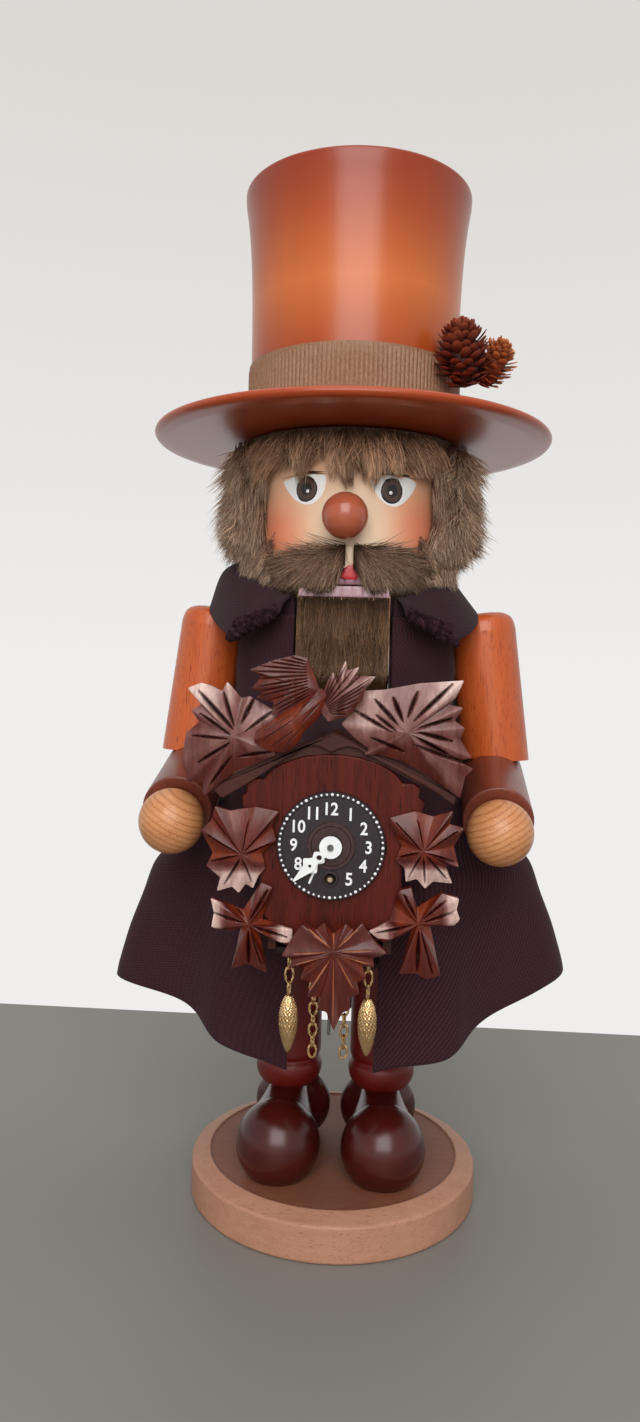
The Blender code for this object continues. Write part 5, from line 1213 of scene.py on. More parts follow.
def collar_surface(turn, way):
    """The collar's middle at each turn: up the stand, over the fold and down to the free edge."""
    degrees = np.degrees(np.pi - np.abs(np.pi - turn))
    puff = np.exp(-(((degrees - 88) / 26) ** 2)) * np.where(turn > np.pi, 1, -0.4)
    top = 280.5 - eased(degrees, (COLLAR_TURNS, COLLAR_FALL), 4) + 5 * puff
    low = 254 + eased(degrees, (COLLAR_TURNS, COLLAR_TIPS), 2.5)
    out = HEAD_RADIUS + eased(degrees, (COLLAR_TURNS, COLLAR_OUT), 3) + 2.6 * puff
    inner = np.full_like(turn, COLLAR_INNER)
    stand = [(inner, np.full_like(turn, COLLAR_FOOT)), (inner, top - 6), (inner + 0.6, top - 2.2)]
    fold = [(inner + 1.8, top - 0.8), (inner + 3.6, top - 1.4)]
    half_out = inner + (0.45 + 0.12 * puff) * (out - inner) + 2.6
    half_down = low + (0.58 + 0.13 * puff) * (top - low)
    keys = stand + fold + [(half_out, half_down), (out, low + 0.6)]
    keys = np.array(keys).transpose(0, 2, 1).reshape(len(keys), -1)
    line = flowing(keys, len(way)).reshape(len(way), len(turn), 2)
    line[..., 0] += 0.5 * np.sin(7 * turn) * way[:, None]
    return round_head(turn, line[..., 0], line[..., 1])


turn = np.radians(np.linspace(29, 331, 241))
way = np.linspace(0, 1, 45)
middle = collar_surface(turn, way)
collar_twill = twill("collar_twill", srgb(42, 24, 30), srgb(60, 38, 46), 0.95)
quads = grid_faces(45, 241)
collar, flat = sewn("collar_cloth", middle, quads, spans(middle, 1), spans(middle, 0), collar_twill)
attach(collar, "figure")
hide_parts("collar")

braid_yarn, tree, shader = finish("braid_yarn", 0.9, 0.1)
tree.links.new(
    ramp(tree, grain(tree, (1, 1, 1), 420, 3.0), [(0.35, srgb(32, 18, 23)), (0.7, srgb(66, 42, 50))]),
    shader.inputs["Base Color"],
)
for side, sign in SIDES:
    lead = np.radians(np.linspace(29.5, 48, 160))
    lead = lead if sign > 0 else TAU - lead
    rows = [collar_surface(lead, way)[index] for index in (-1, -4)]
    loops = np.arange(160)
    for number, line in enumerate(rows):
        line = line + round_head(lead, np.full(160, 1.0), np.zeros(160)) * (1, 1, 0)
        around = np.arange(16) * TAU / 16
        knot = np.sin(loops * 0.62 + number)[:, None] * np.sin(2 * around + loops[:, None] * 0.31)
        knot = knot + 0.6 * np.sin(loops * 1.13)[:, None] * np.cos(around + 1.7 * number)
        taper = np.clip(np.minimum(loops, 159 - loops) / 6, 0.05, 1)[:, None]
        points = capped(tube(line, BRAID_RADIUS * (0.8 + 0.3 * knot) * taper, 16))
        braid = piece(f"braid_{side}_{number}", points, grid_faces(162, 16, round_columns=True), braid_yarn)
        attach(braid, "figure")

# Clock body: a small box of stained wood pegged to the chest, with an arched front board and a gabled roof.
# A dark scalloped board hangs under the roof; the grain of the front runs upright and is combed deep.
CLOCK_FACE = -86.3
CLOCK_BACK = -82.3
CASE_BACK = -62.0
ARCH_FOOT = 192.0
ARCH_TOP = 205.0
FRONT_HALF = 26.0
FRONT_FOOT = [(7, 127), (12, 130), (15, 135.5), (20, 138), (23, 143), (26, 146)]
FRONT_EAR = [
    (26, 181), (29.5, 181.5), (33, 184.5), (33.6, 188.5), (31.5, 190), (32, 193.5), (29, 195.5),
    (25.4, 195),
]
ROOF_OUTLINE = [
    (-45, 193), (0, 213), (45, 193), (45, 189), (28, 196.6), (18.4, 201.4), (10, 204.2), (0, 205.2),
    (-10, 204.2), (-18.4, 201.4), (-28, 196.6), (-45, 189),
]
VALANCE = [
    (-40.5, 187.5), (-44.8, 191.6), (0, 212.6), (44.8, 191.6), (44, 188), (36.5, 193.2), (23.4, 200),
    (14, 204.4), (12, 204.6), (9.5, 207.2), (5, 208.2), (1, 206.8), (-1, 205.6), (-3, 206.9),
    (-7, 208.2), (-11.5, 207.2), (-14, 204.8), (-17.7, 202.9), (-29.6, 194.4),
]

front_wood, tree, shader = wooden(
    "front_wood", srgb(92, 29, 19), srgb(53, 16, 12), srgb(34, 11, 8), (1, 1, 0.05), 0.42, 0.16
)
relief(tree, shader, grain(tree, (1, 1, 0.05), 1100, 2.0), 0.5, 0.0004)
# The roof, valance and case stain is very dark: partly real stain, partly painted shade on the case that shows
# behind the front board.
board_wood = wooden(
    "board_wood", srgb(74, 36, 28), srgb(50, 23, 19), srgb(34, 16, 13), (0.1, 1, 1), 0.45, 0.22
)[0]
turn = np.linspace(np.pi, 0, 41)
arch = np.stack([FRONT_HALF * np.cos(turn), ARCH_FOOT + (ARCH_TOP - ARCH_FOOT) * np.sin(turn)], axis=1)
front_side = np.array(FRONT_FOOT + FRONT_EAR)
front_line = np.vstack([front_side * (-1, 1), arch[4:-4], front_side[::-1]])
clock_front = slab("front_board", front_line, CLOCK_FACE, CLOCK_BACK, front_wood, bevel=0.7)
roof_line = rounded(ROOF_OUTLINE, 0.8, 4, ring=True)
roof = slab("roof_boards", roof_line, CLOCK_FACE, CASE_BACK, board_wood, bevel=0.5)
valance_line = rounded(VALANCE, 1.2, 5, ring=True)
valance = slab("valance_board", valance_line, CLOCK_FACE - 1.8, CLOCK_FACE, board_wood, bevel=0.6)
for made, cad in ((clock_front, "clock_front"), (roof, "clock_roof"), (valance, None)):
    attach(made, "figure")
    if cad:
        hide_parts(cad)

# Leaves: seven vine leaves carved from thin boards and glued round the clock front.
# Their lobes are pleated and V-cuts run out from the middle. The cuts are darkened as painted shade, save on
# the bottom leaf where they are pale, and the high facets carry pale painted sheen.
# Each outline is a list of (x, z) and each cut a line from (x, z) to (x, z) with its width.
LEAF_BACK = -87.0
FRONT_LEAF_BACK = -91.9
CARVED_GRID = (48, 288)
TOP_LEFT = [
    (-53.8, 227.8), (-48.6, 229.9), (-45.1, 228.9), (-41.2, 227.1), (-39.2, 230.5), (-34, 224.6),
    (-31.1, 225.5), (-20.2, 219.6), (-21.2, 204.4), (-36, 197.6), (-44.2, 190.7), (-47, 188.5),
    (-47.5, 193.7), (-53.1, 193.5), (-55.4, 201.1), (-54.2, 211.3), (-49.4, 215.6), (-52.4, 219.7),
    (-48.8, 221.9),
]
TOP_LEFT_CUTS = [
    (-49.5, 226.8, -36.4, 213.2, 2.2), (-40.5, 226.4, -36.2, 214.4, 1.8),
    (-29.6, 224.4, -33.6, 215.5, 1.8), (-22, 220.5, -32, 212.7, 1.6), (-49, 218.6, -37.5, 211.3, 1.6),
    (-37.8, 208.2, -49.5, 200.6, 1.5), (-22.6, 205.6, -34.5, 203.4, 1.5),
    (-51.5, 210.5, -38.5, 209.8, 1.3), (-44.5, 193, -37, 203.5, 1.3),
]
TOP_RIGHT = [
    (2.7, 216.3), (5.8, 220.8), (10.4, 228.6), (18, 229.2), (30.3, 231.8), (46.1, 233.3), (43.4, 227),
    (41, 224.4), (46.1, 223.5), (43.3, 218.7), (47, 216.2), (45.4, 212.2), (49.5, 205.8), (43.8, 203.4),
    (50.4, 201.8), (47.6, 198.8), (46, 191), (33.1, 199.4), (24.6, 203.8), (16.5, 205.6), (11, 205.4),
    (12.8, 207.5), (7.6, 211.4),
]
TOP_RIGHT_CUTS = [
    (14.5, 225.5, 22.9, 216.8, 2), (21, 226.4, 24.8, 217.8, 1.8), (29.7, 228.8, 26.4, 219.4, 1.8),
    (42, 231.8, 28.7, 218.4, 2), (15, 220, 22.4, 214.5, 1.5), (7.2, 221.4, 20.8, 214, 1.6),
    (42.6, 211.4, 30.2, 214.4, 1.7), (41, 206.6, 30, 212.3, 1.7), (47.8, 203.4, 28.9, 209.8, 1.6),
    (13.5, 211.8, 25.9, 207, 1.6), (42.5, 219.6, 30.6, 216, 1.5),
]
SIDE_LEFT = [
    (-42.8, 184.9), (-37.2, 183.3), (-27.7, 185.1), (-19.2, 183.8), (-21.6, 177.9), (-19.9, 172.9),
    (-25.3, 168.2), (-23.7, 162.8), (-26.3, 159.8), (-28, 155.3), (-30.9, 156.6), (-33.2, 153.3),
    (-35.9, 155.4), (-41.3, 153.8), (-40.4, 158.6), (-45.5, 162.9), (-43.4, 167.5), (-47.8, 175.9),
    (-44.2, 179.5),
]
SIDE_LEFT_CUTS = [
    (-44.5, 182, -32.8, 168.5, 0.35), (-30, 181.5, -32, 169.5, 0.35), (-21.5, 180.5, -31, 169, 0.5),
    (-22.5, 171.8, -30.5, 167.8, 0.9), (-28.5, 157.5, -31.8, 165.8, 1.1),
    (-38.5, 156.5, -33, 165.9, 1.2), (-44, 164.5, -33.8, 167.4, 0.9), (-45.6, 174.5, -34, 168.4, 0.8),
]
SIDE_RIGHT = [
    (20.9, 183), (30.2, 185.6), (36.6, 183.8), (43.8, 186.3), (42.5, 181.3), (47.9, 180), (44.3, 173.4),
    (46.4, 166.1), (41.5, 166.4), (44.2, 160.1), (37.3, 160.3), (34.5, 157.7), (31.4, 161),
    (27.5, 159.9), (26.9, 164.8), (23.4, 167.7), (25.7, 172.7), (22.2, 178.5),
]
SIDE_RIGHT_CUTS = [
    (23.5, 181.4, 32.6, 172, 0.5), (31, 183.5, 33.4, 173, 0.35), (42.6, 184, 34.4, 172.6, 0.35),
    (45.4, 179, 35.2, 172, 0.8), (44.6, 168, 35, 170.9, 1), (42, 161.8, 34.6, 169.8, 1.3),
    (34.4, 159.6, 33.6, 169, 1), (28.4, 161.6, 32.6, 169.8, 1), (25, 168.8, 32, 171, 0.9),
]
LOWER_LEFT = [
    (-13.1, 140.9), (-24.7, 143.6), (-20.8, 156.1), (-25.1, 157.7), (-31.6, 146.8), (-43.5, 151.1),
    (-42.1, 145.9), (-43, 140.6), (-37.2, 138.5), (-32.5, 140.2), (-35.2, 125.4), (-29.4, 127.2),
    (-22.2, 124.5), (-25.9, 140), (-21.6, 137.2), (-13.5, 134.5),
]
LOWER_LEFT_CUTS = [
    (-15, 138, -27, 141.6, 1.3), (-22.6, 155, -28.4, 144.4, 1.2), (-42, 145.8, -31.2, 143, 1.2),
    (-29, 127.5, -29.2, 139.6, 1.5), (-36, 149, -31, 144.6, 0.9), (-24, 127.5, -28.2, 139.4, 0.8),
]
LOWER_RIGHT = [
    (14.7, 141.5), (22.1, 145.2), (25.2, 156.8), (29.6, 158), (31.8, 150.1), (40.4, 156.4),
    (46.8, 154.7), (46, 150.7), (47.3, 147.3), (45.2, 144.7), (36.9, 143.6), (40.9, 126.5), (36, 124.8),
    (32, 126.6), (26.1, 126.3), (30, 141.6), (25.2, 138.8), (19.8, 137.6),
]
LOWER_RIGHT_CUTS = [
    (17.5, 141, 30, 144.6, 1.3), (27, 155.5, 31.6, 147.2, 1.1), (45.6, 150.2, 34.6, 146, 1.2),
    (32.6, 127.5, 32.6, 142.4, 1.5), (38, 127.5, 33.6, 142.2, 0.8), (42, 154, 34.2, 147.2, 0.9),
]
BOTTOM = [
    (-9.3, 144), (-4.3, 141.8), (-1.4, 144.9), (1.9, 140.6), (6.4, 144.7), (8.9, 142.4), (12.3, 145.5),
    (15.9, 139.7), (21.4, 135), (16.4, 132.6), (17.1, 129.4), (12.7, 129.6), (14.2, 125), (10.9, 123.6),
    (12, 119.2), (8.6, 118), (8.8, 113.6), (6, 112.4), (3.1, 105.8), (0.2, 112.4), (-2.8, 113),
    (-2.6, 117.6), (-6.8, 117.6), (-5.6, 122.8), (-9.6, 123.8), (-8, 128.2), (-13.8, 127.9),
    (-12.4, 131), (-16.4, 132.3), (-13.1, 138.4),
]
BOTTOM_CUTS = [
    (-7, 142.6, 1, 136.5, 0.6), (2, 142, 2.4, 137, 0.6), (10.6, 143.4, 4, 136.6, 0.6),
    (15.4, 136, 5, 135.2, 0.6), (-12, 133.6, 0.2, 134.8, 0.6), (-11, 129.6, 0.6, 133.6, 0.6),
    (-6, 120, 1.4, 132.6, 0.6), (2.8, 108, 2.5, 132.4, 0.5), (10.4, 120.5, 3.6, 132.8, 0.6),
    (15.6, 130.6, 4.6, 133.8, 0.6),
]


def resampled(outline, count):
    """A closed outline with that many points, evenly far apart."""
    ring = np.vstack([outline, outline[:1]])
    run = np.concatenate([[0], np.cumsum(np.linalg.norm(np.diff(ring, axis=0), axis=1))])
    place = np.linspace(0, run[-1], count, endpoint=False)
    return np.stack([np.interp(place, run, ring[:, 0]), np.interp(place, run, ring[:, 1])], axis=1)


def carved(name, middle, outline, back, thick, cuts, tone, material, pleat, deep, edge=0.5):
    """Carving about a middle: height falls to the rim, rises toward the tips and drops into V-cuts.

    Each cut is a line with the shape of a spindle; the map "carve" holds cut depth and tone, and the tone
    carries painted sheen and highlights."""
    rows, columns = CARVED_GRID
    middle = np.array(middle)
    line = resampled(rounded(outline, 0.5, 4, ring=True), columns) - middle
    reach = np.linalg.norm(line, axis=1)
    window = columns // 9
    padded = np.concatenate([reach[-window:], reach, reach[:window]])
    broad = np.convolve(padded, np.ones(2 * window + 1) / (2 * window + 1), "valid")
    crest = np.clip((reach - broad) / (0.16 * broad), -1, 1)
    share = np.linspace(0, 1, rows)[:, None] ** 0.85
    spot = middle + share[..., None] * line
    height = thick * (1 - edge * share**2.6) + pleat * crest * share * (1.2 - 0.6 * share)
    sunk = np.zeros(spot.shape[:2])
    for x0, z0, x1, z1, wide in cuts:
        run = np.array([x1 - x0, z1 - z0])
        t = np.clip((spot - (x0, z0)) @ run / (run @ run), 0, 1)
        aside = np.linalg.norm(spot - (x0, z0) - t[..., None] * run, axis=2)
        half = 0.5 * wide * np.sin(np.pi * np.clip(0.08 + 0.9 * t, 0, 1)) ** 0.7 + 0.05
        sunk = np.maximum(sunk, np.clip(1 - aside / half, 0, 1) * np.minimum(1, 0.4 + 0.6 * half))
    height = np.maximum(height - deep * sunk, 0.5)
    front = np.stack([spot[..., 0], back - height, spot[..., 1]], axis=-1)
    rim = front[-1:] * (1, 0, 1) + (0, back, 0)
    heart = np.broadcast_to([middle[0], back, middle[1]], rim.shape)
    points = np.concatenate([front, rim, heart])
    # Lobe tips are painted lighter and the notches between lobes darker, as painted highlight and shade.
    light = np.clip(tone(spot[..., 0] - middle[0], spot[..., 1] - middle[1]) + 0.2 * crest * share, 0, 1)
    uv = np.stack([np.clip(sunk * 1.4, 0, 1), light], axis=-1)
    uv = np.concatenate([uv, np.broadcast_to([0.0, 0.1], (2, columns, 2))])
    faces = grid_faces(rows + 2, columns, round_columns=True)
    made = piece(name, points, faces, material, uv, crease=50, uv_name="carve")
    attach(made, "figure")
    return made


def carving(name, groove):
    """Stained carving wood: orange over red-brown by tone, rising to pale lilac painted sheen, and one tint in
    the cuts.
    """
    made, tree, shader = finish(name, 0.3, 0.38)
    spot = node(tree, "SeparateXYZ", {0: node(tree, "UVMap", uv_map="carve").outputs[0]})
    cloud = grain(tree, (1, 1, 0.25), 200)
    wander = node(tree, "MapRange", {"Value": cloud, "To Min": -0.24, "To Max": 0.24})
    tone = node(tree, "Math", {0: spot.outputs[1], 1: wander.outputs[0]}, operation="ADD").outputs[0]
    tones = [(0.0, srgb(120, 46, 22)), (0.22, srgb(88, 28, 16)), (0.45, srgb(82, 30, 24))]
    # The lilac and near-white stops at the top of the tone are painted sheen and highlights.
    tones += [(0.72, srgb(134, 88, 84)), (1.0, srgb(218, 186, 176))]
    stain = ramp(tree, tone, tones)
    fine = [(0.3, (0.72, 0.68, 0.66, 1)), (0.65, (1.05, 1.05, 1.05, 1))]
    lines = ramp(tree, grain(tree, (1, 1, 0.12), 800), fine)
    stain = mixed(tree, 1.0, stain, lines, "MULTIPLY")
    tree.links.new(mixed(tree, spot.outputs[0], stain, groove), shader.inputs["Base Color"])
    relief(tree, shader, grain(tree, (1, 1, 0.3), 500, 2.0), 0.3, 0.0003)
    return made


# The dark tint in the cuts of the leaves and the bird is painted shade.
shaded_cut_wood = carving("leaf_wood", srgb(34, 13, 11))
pale_cut = carving("bottom_leaf_wood", srgb(206, 132, 92))


def rubbed_top(x, z):
    """Tone of a roof leaf: pale lilac painted sheen that grows toward the top."""
    return 0.6 + 0.014 * z


def rubbed_low(x, z):
    """Tone of a side leaf: orange above, and pale painted sheen on the low facets."""
    return 0.18 + 0.78 * np.clip((-z - 2.5) / 5, 0, 1)


def rubbed_end(x, z):
    """Tone of a lower leaf: pale painted highlights only at the ends of its side petals."""
    return 0.16 + 0.64 * np.clip((np.abs(x) - 7) / 5, 0, 1) * (z > -6)


def rubbed_even(x, z):
    """Tone of a piece that was stained evenly."""
    return 0.33 + 0 * x


LEAVES = (
    ("top_left", (-36.3, 210.8), TOP_LEFT, 4.4, TOP_LEFT_CUTS, rubbed_top, 1.2),
    ("top_right", (26.6, 214), TOP_RIGHT, 4.4, TOP_RIGHT_CUTS, rubbed_top, 1.2),
    ("side_left", (-32.5, 168), SIDE_LEFT, 4.2, SIDE_LEFT_CUTS, rubbed_low, 1.2),
    ("side_right", (33.6, 171.5), SIDE_RIGHT, 4.2, SIDE_RIGHT_CUTS, rubbed_low, 1.2),
    ("lower_left", (-29.2, 142.1), LOWER_LEFT, 4.2, LOWER_LEFT_CUTS, rubbed_end, 2.2),
    ("lower_right", (32.4, 145.1), LOWER_RIGHT, 4.2, LOWER_RIGHT_CUTS, rubbed_end, 2.2),
    ("bottom", (2.5, 135.1), BOTTOM, 4.4, BOTTOM_CUTS, rubbed_even, 1.2),
)
for side, middle, outline, thick, cuts, tone, pleat in LEAVES:
    back, deep, material = LEAF_BACK, 2.0, shaded_cut_wood
    if side == "bottom":
        back, deep, material = FRONT_LEAF_BACK, 0.7, pale_cut
    leaf = carved("leaf_carved_" + side, middle, outline, back, thick, cuts, tone, material, pleat, deep)
    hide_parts("leaf_" + side)
block = rounded([(-8, 126.2), (-8, 137), (10, 137), (10, 126.2)], 1, 4, ring=True)
backing_block = slab("leaf_block", block, -92.2, -86.4, board_wood, bevel=0.4)
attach(backing_block, "figure")

# Bird: carved from one board over the arch, diving to the left with both wings raised.
# Feathers are cut as fine lines that fan out from the shoulders.
WING_LEFT = [
    (-5.1, 228.2), (-6.6, 232), (-8.2, 235.8), (-9.7, 239.5), (-14.2, 240.7), (-22.4, 238.6),
    (-30.6, 235), (-26.2, 232.9), (-29.5, 228.5), (-25.5, 226.9), (-27.9, 225.2), (-21.5, 223.8),
    (-22.4, 218.9), (-16, 219.6), (-9.3, 223.7),
]
WING_RIGHT = [
    (-4.7, 226.7), (-2.3, 232.1), (-0.7, 235.1), (0.6, 232.7), (3.8, 239.3), (4.4, 235.7), (8.7, 237.1),
    (7.8, 233.9), (14.6, 233.8), (11.3, 229.6), (10, 225.7), (5.4, 219.3), (-1.9, 217.4), (-4.9, 220.9),
]
BIRD_BODY = [
    (-5, 229.2), (-2.1, 226.8), (-3.4, 222), (-6.2, 217.5), (-10, 214), (-12.6, 209.1), (-16.6, 205.7),
    (-23.4, 206.1), (-28.4, 209.5), (-27.7, 213), (-23.7, 216), (-17, 221.1), (-10.3, 225.1),
]

feather = np.linspace(0, 1, 13)[:, None]
root = np.hstack([-10.5 + 1.5 * feather, 238.5 - 12 * feather])
tip = [(-16, 240), (-23, 238), (-29.5, 234.6), (-28, 229), (-26.5, 225.6), (-22, 222), (-20, 219.6)]
left_cuts = np.hstack([root, flowing(tip, 13), np.full((13, 1), 0.75)])
feather = np.linspace(0, 1, 11)[:, None]
root = np.hstack([-3.6 + 2.5 * feather, 225 - 5 * feather])
tip = [(-1, 234.4), (3.6, 238.4), (8, 236.4), (13.6, 233.6), (10.4, 229), (9, 225), (5, 220)]
right_cuts = np.hstack([root, flowing(tip, 11), np.full((11, 1), 0.8)])
body_cuts = [
    (-22, 207.6, -13, 214.5, 0.6), (-25, 210, -14, 218, 0.6), (-24.5, 213.4, -13, 221, 0.6),
    (-17, 208, -9.5, 216.5, 0.6), (-12.5, 221.5, -6, 226.4, 0.6), (-11, 216.8, -5, 223.6, 0.6),
]


def rubbed_thin(x, z):
    """Tone of the bird's breast: the stain is thin and orange."""
    return 0.08 + 0 * x


BIRD = (
    ("wing_left", (-14.5, 230.5), WING_LEFT, 4.2, left_cuts, rubbed_even, 0.9, 0.35),
    ("wing_right", (2.2, 226.6), WING_RIGHT, 4.4, right_cuts, rubbed_top, 0.9, 0.45),
    ("body", (-14.5, 216.6), BIRD_BODY, 6.6, body_cuts, rubbed_thin, 0.5, 0.62),
)
for side, middle, outline, thick, cuts, tone, deep, edge in BIRD:
    made = carved(
        "bird_" + side, middle, outline, FRONT_LEAF_BACK, thick, cuts, tone, shaded_cut_wood, 0.3, deep, edge
    )
    if side == "body":
        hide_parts("bird")

# Dial: a pressed black disc with a brown ring round the hands, white numerals and a rim of white beads.
# The figures are moulded proud of the face; there is none at six, where the winding square comes through.
DIAL_AT = np.array([0, 171.6])
DIAL_BACK = -86.6
DIAL_FACE = -88.2
WINDING_DROP = 12.1
DIAL_PROFILE = [
    (2.9, 0), (19.9, 0), (19.9, 1.5), (19.6, 1.9), (18.2, 1.9), (17.9, 1.6), (8.9, 1.6), (8.6, 2),
    (7.4, 2), (7.1, 1.6), (2.9, 1.6), (2.9, 0),
]
NUMERAL_HEIGHT = 4.7
NUMERAL_RADIUS = 13.7
BEADS = 60
BEAD_RADIUS = 18.9

dial_black, tree, shader = finish("dial_black", 0.4, 0.4)
away = from_axis(tree, (0, 0, DIAL_AT[1]), (0, 2))
ring = node(tree, "MapRange", {"Value": away, "From Min": 0.0091, "From Max": 0.0087})
speck = grain(tree, (1, 1, 1), 900, 2.0)
black = ramp(tree, speck, [(0.3, srgb(30, 22, 26)), (0.7, srgb(42, 32, 36))])
brown = ramp(tree, speck, [(0.3, srgb(46, 28, 27)), (0.7, srgb(62, 39, 36))])
tree.links.new(mixed(tree, ring.outputs[0], black, brown), shader.inputs["Base Color"])
dial = turning("dial_disc", DIAL_PROFILE, 120, dial_black, at=(0, DIAL_BACK, DIAL_AT[1]), axis=(0, -1, 0))
turn = np.linspace(0, TAU, 40, endpoint=False)
winding = DIAL_AT[1] - WINDING_DROP
hole = np.stack([2.0 * np.cos(turn), winding + 2.0 * np.sin(turn)], axis=1)
cut_by(dial, slab("winding_hole", hole, -90, -85, dial_black))
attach(dial, "figure")
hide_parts("clock_dial")
collar_line = rounded([(2.0, 0.4), (2.0, 2.1), (2.9, 2.1), (3.1, 1.5), (2.6, 0.4), (2.0, 0.4)], 0.2)
at = (0, DIAL_BACK, winding)
winding_ring = turning("winding_ring", collar_line, 40, dial_black, at=at, axis=(0, -1, 0))
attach(winding_ring, "figure")


def figure_mesh(word):
    """Points, faces and size of a number set in the built-in typeface, a little bold and with depth."""
    letters = bpy.data.curves.new("number", "FONT")
    letters.body = word
    letters.extrude = 0.06
    letters.offset = 0.018
    letters.resolution_u = 4
    holder = bpy.data.objects.new("number", letters)
    bpy.context.scene.collection.objects.link(holder)
    shape = bpy.data.meshes.new_from_object(holder.evaluated_get(bpy.context.evaluated_depsgraph_get()))
    flat = np.empty(len(shape.vertices) * 3)
    shape.vertices.foreach_get("co", flat)
    faces = [list(face.vertices) for face in shape.polygons]
    bpy.data.objects.remove(holder, do_unlink=True)
    bpy.data.meshes.remove(shape)
    bpy.data.curves.remove(letters)
    flat = flat.reshape(-1, 3)
    low, high = flat.min(axis=0), flat.max(axis=0)
    return flat - (low + high) / 2, faces, high - low


white_print = speckled(
    "white_print", srgb(226, 226, 228), srgb(240, 240, 240), (1, 1, 1), 900, 2.0, 0.4, 0.4
)[0]
placed, faces, start = [], [], 0
for hour in (12, 1, 2, 3, 4, 5, 7, 8, 9, 10, 11):
    flat, shape, size = figure_mesh(str(hour))
    grow = NUMERAL_HEIGHT / size[1]
    angle = radians(30 * hour)
    middle = DIAL_AT + NUMERAL_RADIUS * np.array([np.sin(angle), np.cos(angle)])
    depth = DIAL_FACE - 0.05 - 0.2 * flat[:, 2] / size[2]
    spot = middle + grow * flat[:, :2] * (0.9, 1)
    placed.append(np.stack([spot[:, 0], depth, spot[:, 1]], axis=1))
    faces += [[start + corner for corner in face] for face in shape]
    start += len(flat)
numerals = piece("dial_numerals", np.concatenate(placed), faces, white_print, crease=30)
turn = np.arange(BEADS) * TAU / BEADS
spot = DIAL_AT + BEAD_RADIUS * np.stack([np.sin(turn), np.cos(turn)], axis=1)
middles = np.stack([spot[:, 0], np.full(BEADS, DIAL_BACK - 1.88), spot[:, 1]], axis=1)
theta = np.linspace(0, np.pi, 6)[:, None]
phi = np.arange(8) * TAU / 8
bead = (np.sin(theta) * np.cos(phi), -0.6 * np.cos(theta), np.sin(theta) * np.sin(phi))
bead = np.stack(np.broadcast_arrays(*bead), axis=-1)
width = np.where(np.arange(BEADS) % 5 == 0, 0.62, 0.46)
points = middles[:, None, None] + width[:, None, None, None] * bead
faces = (np.arange(BEADS)[:, None, None] * 48 + grid_faces(6, 8, round_columns=True)).reshape(-1, 4)
beads = piece("dial_beads", points, faces, white_print)
for made in (numerals, beads):
    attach(made, "figure")

# Hands: two pierced white plastic hands pushed onto the arbors, both standing between seven and eight.
# The hour hand has the broad wings; the minute hand reaches the beads.
HAND_TURN = radians(226)
HOUR_SHAPE = [
    (3.2, 1.7), (4.2, 1.5), (5.6, 2.6), (7.0, 1.9), (7.6, 1.6), (8.8, 2.4), (10.2, 3.5), (11.4, 2.4),
    (13.4, 0.2),
]
MINUTE_SHAPE = [
    (3.6, 1.7), (4.4, 1.3), (5.6, 1.9), (7.0, 1.2), (8.4, 1.5), (10.2, 2.1), (12, 1.8), (15.4, 1.0),
    (18.4, 0.3),
]

hand_white = speckled(
    "hand_white", srgb(228, 230, 230), srgb(240, 241, 240), (1, 1, 1), 400, 2.0, 0.35, 0.45
)[0]
along_hand = np.array([np.sin(HAND_TURN), np.cos(HAND_TURN)])
across_hand = np.array([np.cos(HAND_TURN), -np.sin(HAND_TURN)])


def hand_outline(hub, shape):
    """A hub most of the way round, then the half-widths along the hand on both sides."""
    turn = np.linspace(radians(30), radians(330), 40)
    circle_part = np.stack([hub * np.cos(turn), hub * np.sin(turn)], axis=1)
    side = flowing(shape, 40)
    right = np.stack([side[:, 0], -side[:, 1]], axis=1)
    line = np.vstack([circle_part, right, side[::-1]])
    return DIAL_AT + line[:, :1] * along_hand + line[:, 1:] * across_hand


for side, hub, shape, low, high, bore, body_name in (
    ("hour", 3.9, HOUR_SHAPE, -90.4, -89.8, 2.3, "hour_work"),
    ("minute", 4.1, MINUTE_SHAPE, -91.3, -90.7, 0.95, "minute_work"),
):
    hand = slab("hand_" + side, hand_outline(hub, shape), low, high, hand_white)
    for place, radius in ((0, bore), (5.6, 1.0), (10.2, 0.6)):
        middle = DIAL_AT + place * along_hand
        cut_by(hand, slab("hole", circle(middle, radius), low - 2, high + 2, hand_white))
    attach(hand, body_name)
    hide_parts(side + "_hand")

# Weights and chains: two cone-shaped brass weights, hammered in rows, on short chains of oval links.
# The loose ends of both chains hang between them, and the pendulum's wire shows behind the bottom leaf.
METAL = 1.0
CHAIN_TOP = 128.4
WEIGHT_AT = (14.9, -78.4)
WEIGHT_TOP = 113.0
WEIGHT_LENGTH = 22.5
TAIL_AT = (6, -71.4)
TAIL_END = 87
WEIGHT_RADIUS = 3.5
WEIGHT_SHAPE = [
    (0, 0), (0.35, 0.02), (0.68, 0.12), (0.94, 0.28), (1, 0.45), (0.9, 0.62), (0.62, 0.8), (0.3, 0.94),
    (0, 1),
]

brass, tree, shader = speckled(
    "old_brass", srgb(206, 164, 112), srgb(232, 196, 146), (1, 1, 1), 380, 3.0, 0.3, 0.5, METAL
)
worn = node(tree, "MapRange", {"Value": grain(tree, (1, 1, 1), 700), "To Min": 0.12, "To Max": 0.3})
tree.links.new(worn.outputs[0], shader.inputs["Roughness"])


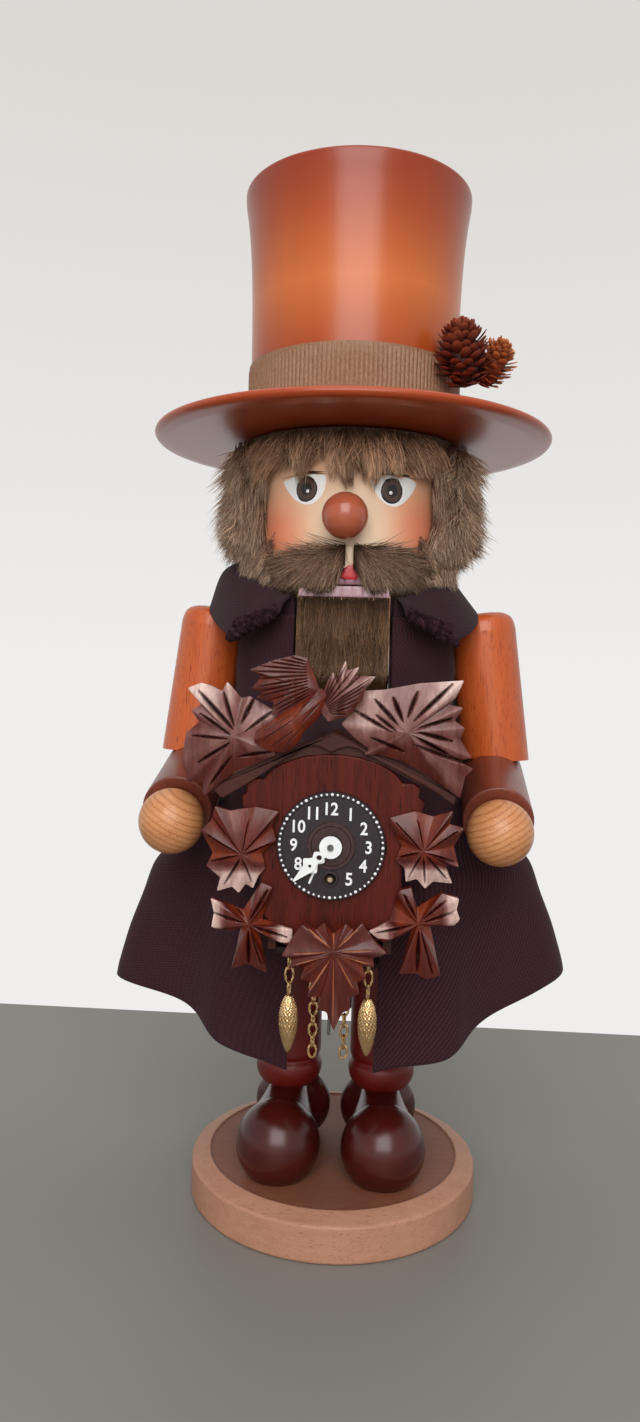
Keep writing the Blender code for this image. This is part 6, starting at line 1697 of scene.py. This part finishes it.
def links(name, at, top, bottom, count, wire, wide, material):
    """Oval links, each set crosswise to the one before, as one object."""
    pitch = (top - bottom) / count
    turn = np.arange(14) * TAU / 14
    tall = 0.5 * pitch + 0.9 * wire
    shapes, faces = [], []
    for number in range(count):
        middle = np.array([at[0], at[1], top - (number + 0.5) * pitch])
        facing = np.array([1.0, 0.2, 0]) if number % 2 else np.array([0.2, 1.0, 0])
        loop = middle + np.outer(wide * np.cos(turn), facing) + np.outer(tall * np.sin(turn), (0, 0, 1))
        shapes.append(tube(loop, wire, 6, ring=True))
        faces.append(number * 84 + grid_faces(14, 6, True, True))
    return piece(name, np.stack(shapes), np.concatenate(faces), material)


for side, sign in SIDES:
    at = (sign * WEIGHT_AT[0], WEIGHT_AT[1])
    chain = links("chain_links_" + side, at, CHAIN_TOP, WEIGHT_TOP - 0.4, 3, 0.48, 1.5, brass)
    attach(chain, "weight_" + side)
    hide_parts("chain_" + side)
    line = np.abs(flowing(WEIGHT_SHAPE, 100)) * (WEIGHT_RADIUS, -WEIGHT_LENGTH) + (0, WEIGHT_TOP)
    points = turned(line, 84, (*at, 0))
    rows, turn = np.arange(100)[:, None], np.arange(84) * TAU / 84
    mark = np.sin(rows * np.pi / 3.5) * np.cos(14 * turn + np.pi * (rows // 7))
    body_part = np.clip(np.minimum(rows - 4, 95 - rows) / 6, 0, 1)
    swell = 1 + 0.07 * mark * body_part
    points[..., :2] = np.array(at) + (points[..., :2] - at) * swell[..., None]
    faces = grid_faces(100, 84, round_columns=True)
    weight = piece("weight_hammered_" + side, points, faces, brass, crease=80)
    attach(weight, "weight_" + side)
    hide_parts("weight_" + side)
    at = (sign * TAIL_AT[0], TAIL_AT[1])
    tail = links("tail_links_" + side, at, CHAIN_TOP, TAIL_END, 10, 0.5, 1.5, brass)
    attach(tail, "tail_" + side)
    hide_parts("chain_tail_" + side)


# Hidden pieces: the dowels, the pin, the mount block, the case and the movement keep their solids' shapes.
# Plain beech, steel and brass, and the case stained like the roof.
DULL_METAL = 0.8
steel = speckled(
    "drawn_steel", srgb(108, 106, 104), srgb(166, 164, 160), (1, 1, 0.1), 900, 2.0, 0.32, 0.5, METAL
)[0]
dark_plate = speckled(
    "dark_plate", srgb(38, 30, 26), srgb(58, 46, 38), (1, 1, 1), 300, 4.0, 0.5, 0.5, DULL_METAL
)[0]
arbor_end, tree, shader = finish("arbor_end", 0.45, 0.5, metallic=DULL_METAL)
away = from_axis(tree, (0, 0, winding), (0, 2))
rim = node(tree, "MapRange", {"Value": away, "From Min": 0.0007, "From Max": 0.0010})
tint = mixed(tree, rim.outputs[0], srgb(190, 168, 140), srgb(52, 40, 34))
tree.links.new(tint, shader.inputs["Base Color"])
by_kind = {"beech": lever_beech, "steel": steel, "brass": brass, "carved_wood": board_wood}
by_node = {"movement_plates": dark_plate, "winding_arbor": arbor_end}
for made in bpy.data.objects:
    if "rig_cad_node" in made.keys() and made.type == "MESH":
        for holder in made.material_slots:
            kind = holder.material.name.split(".")[0] if holder.material else ""
            holder.material = by_node.get(made["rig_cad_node"], by_kind.get(kind, holder.material))

size = {"cad": [list(map(float, c)) for c in CAD_BOX], "visual": [list(map(float, c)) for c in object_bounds()]}
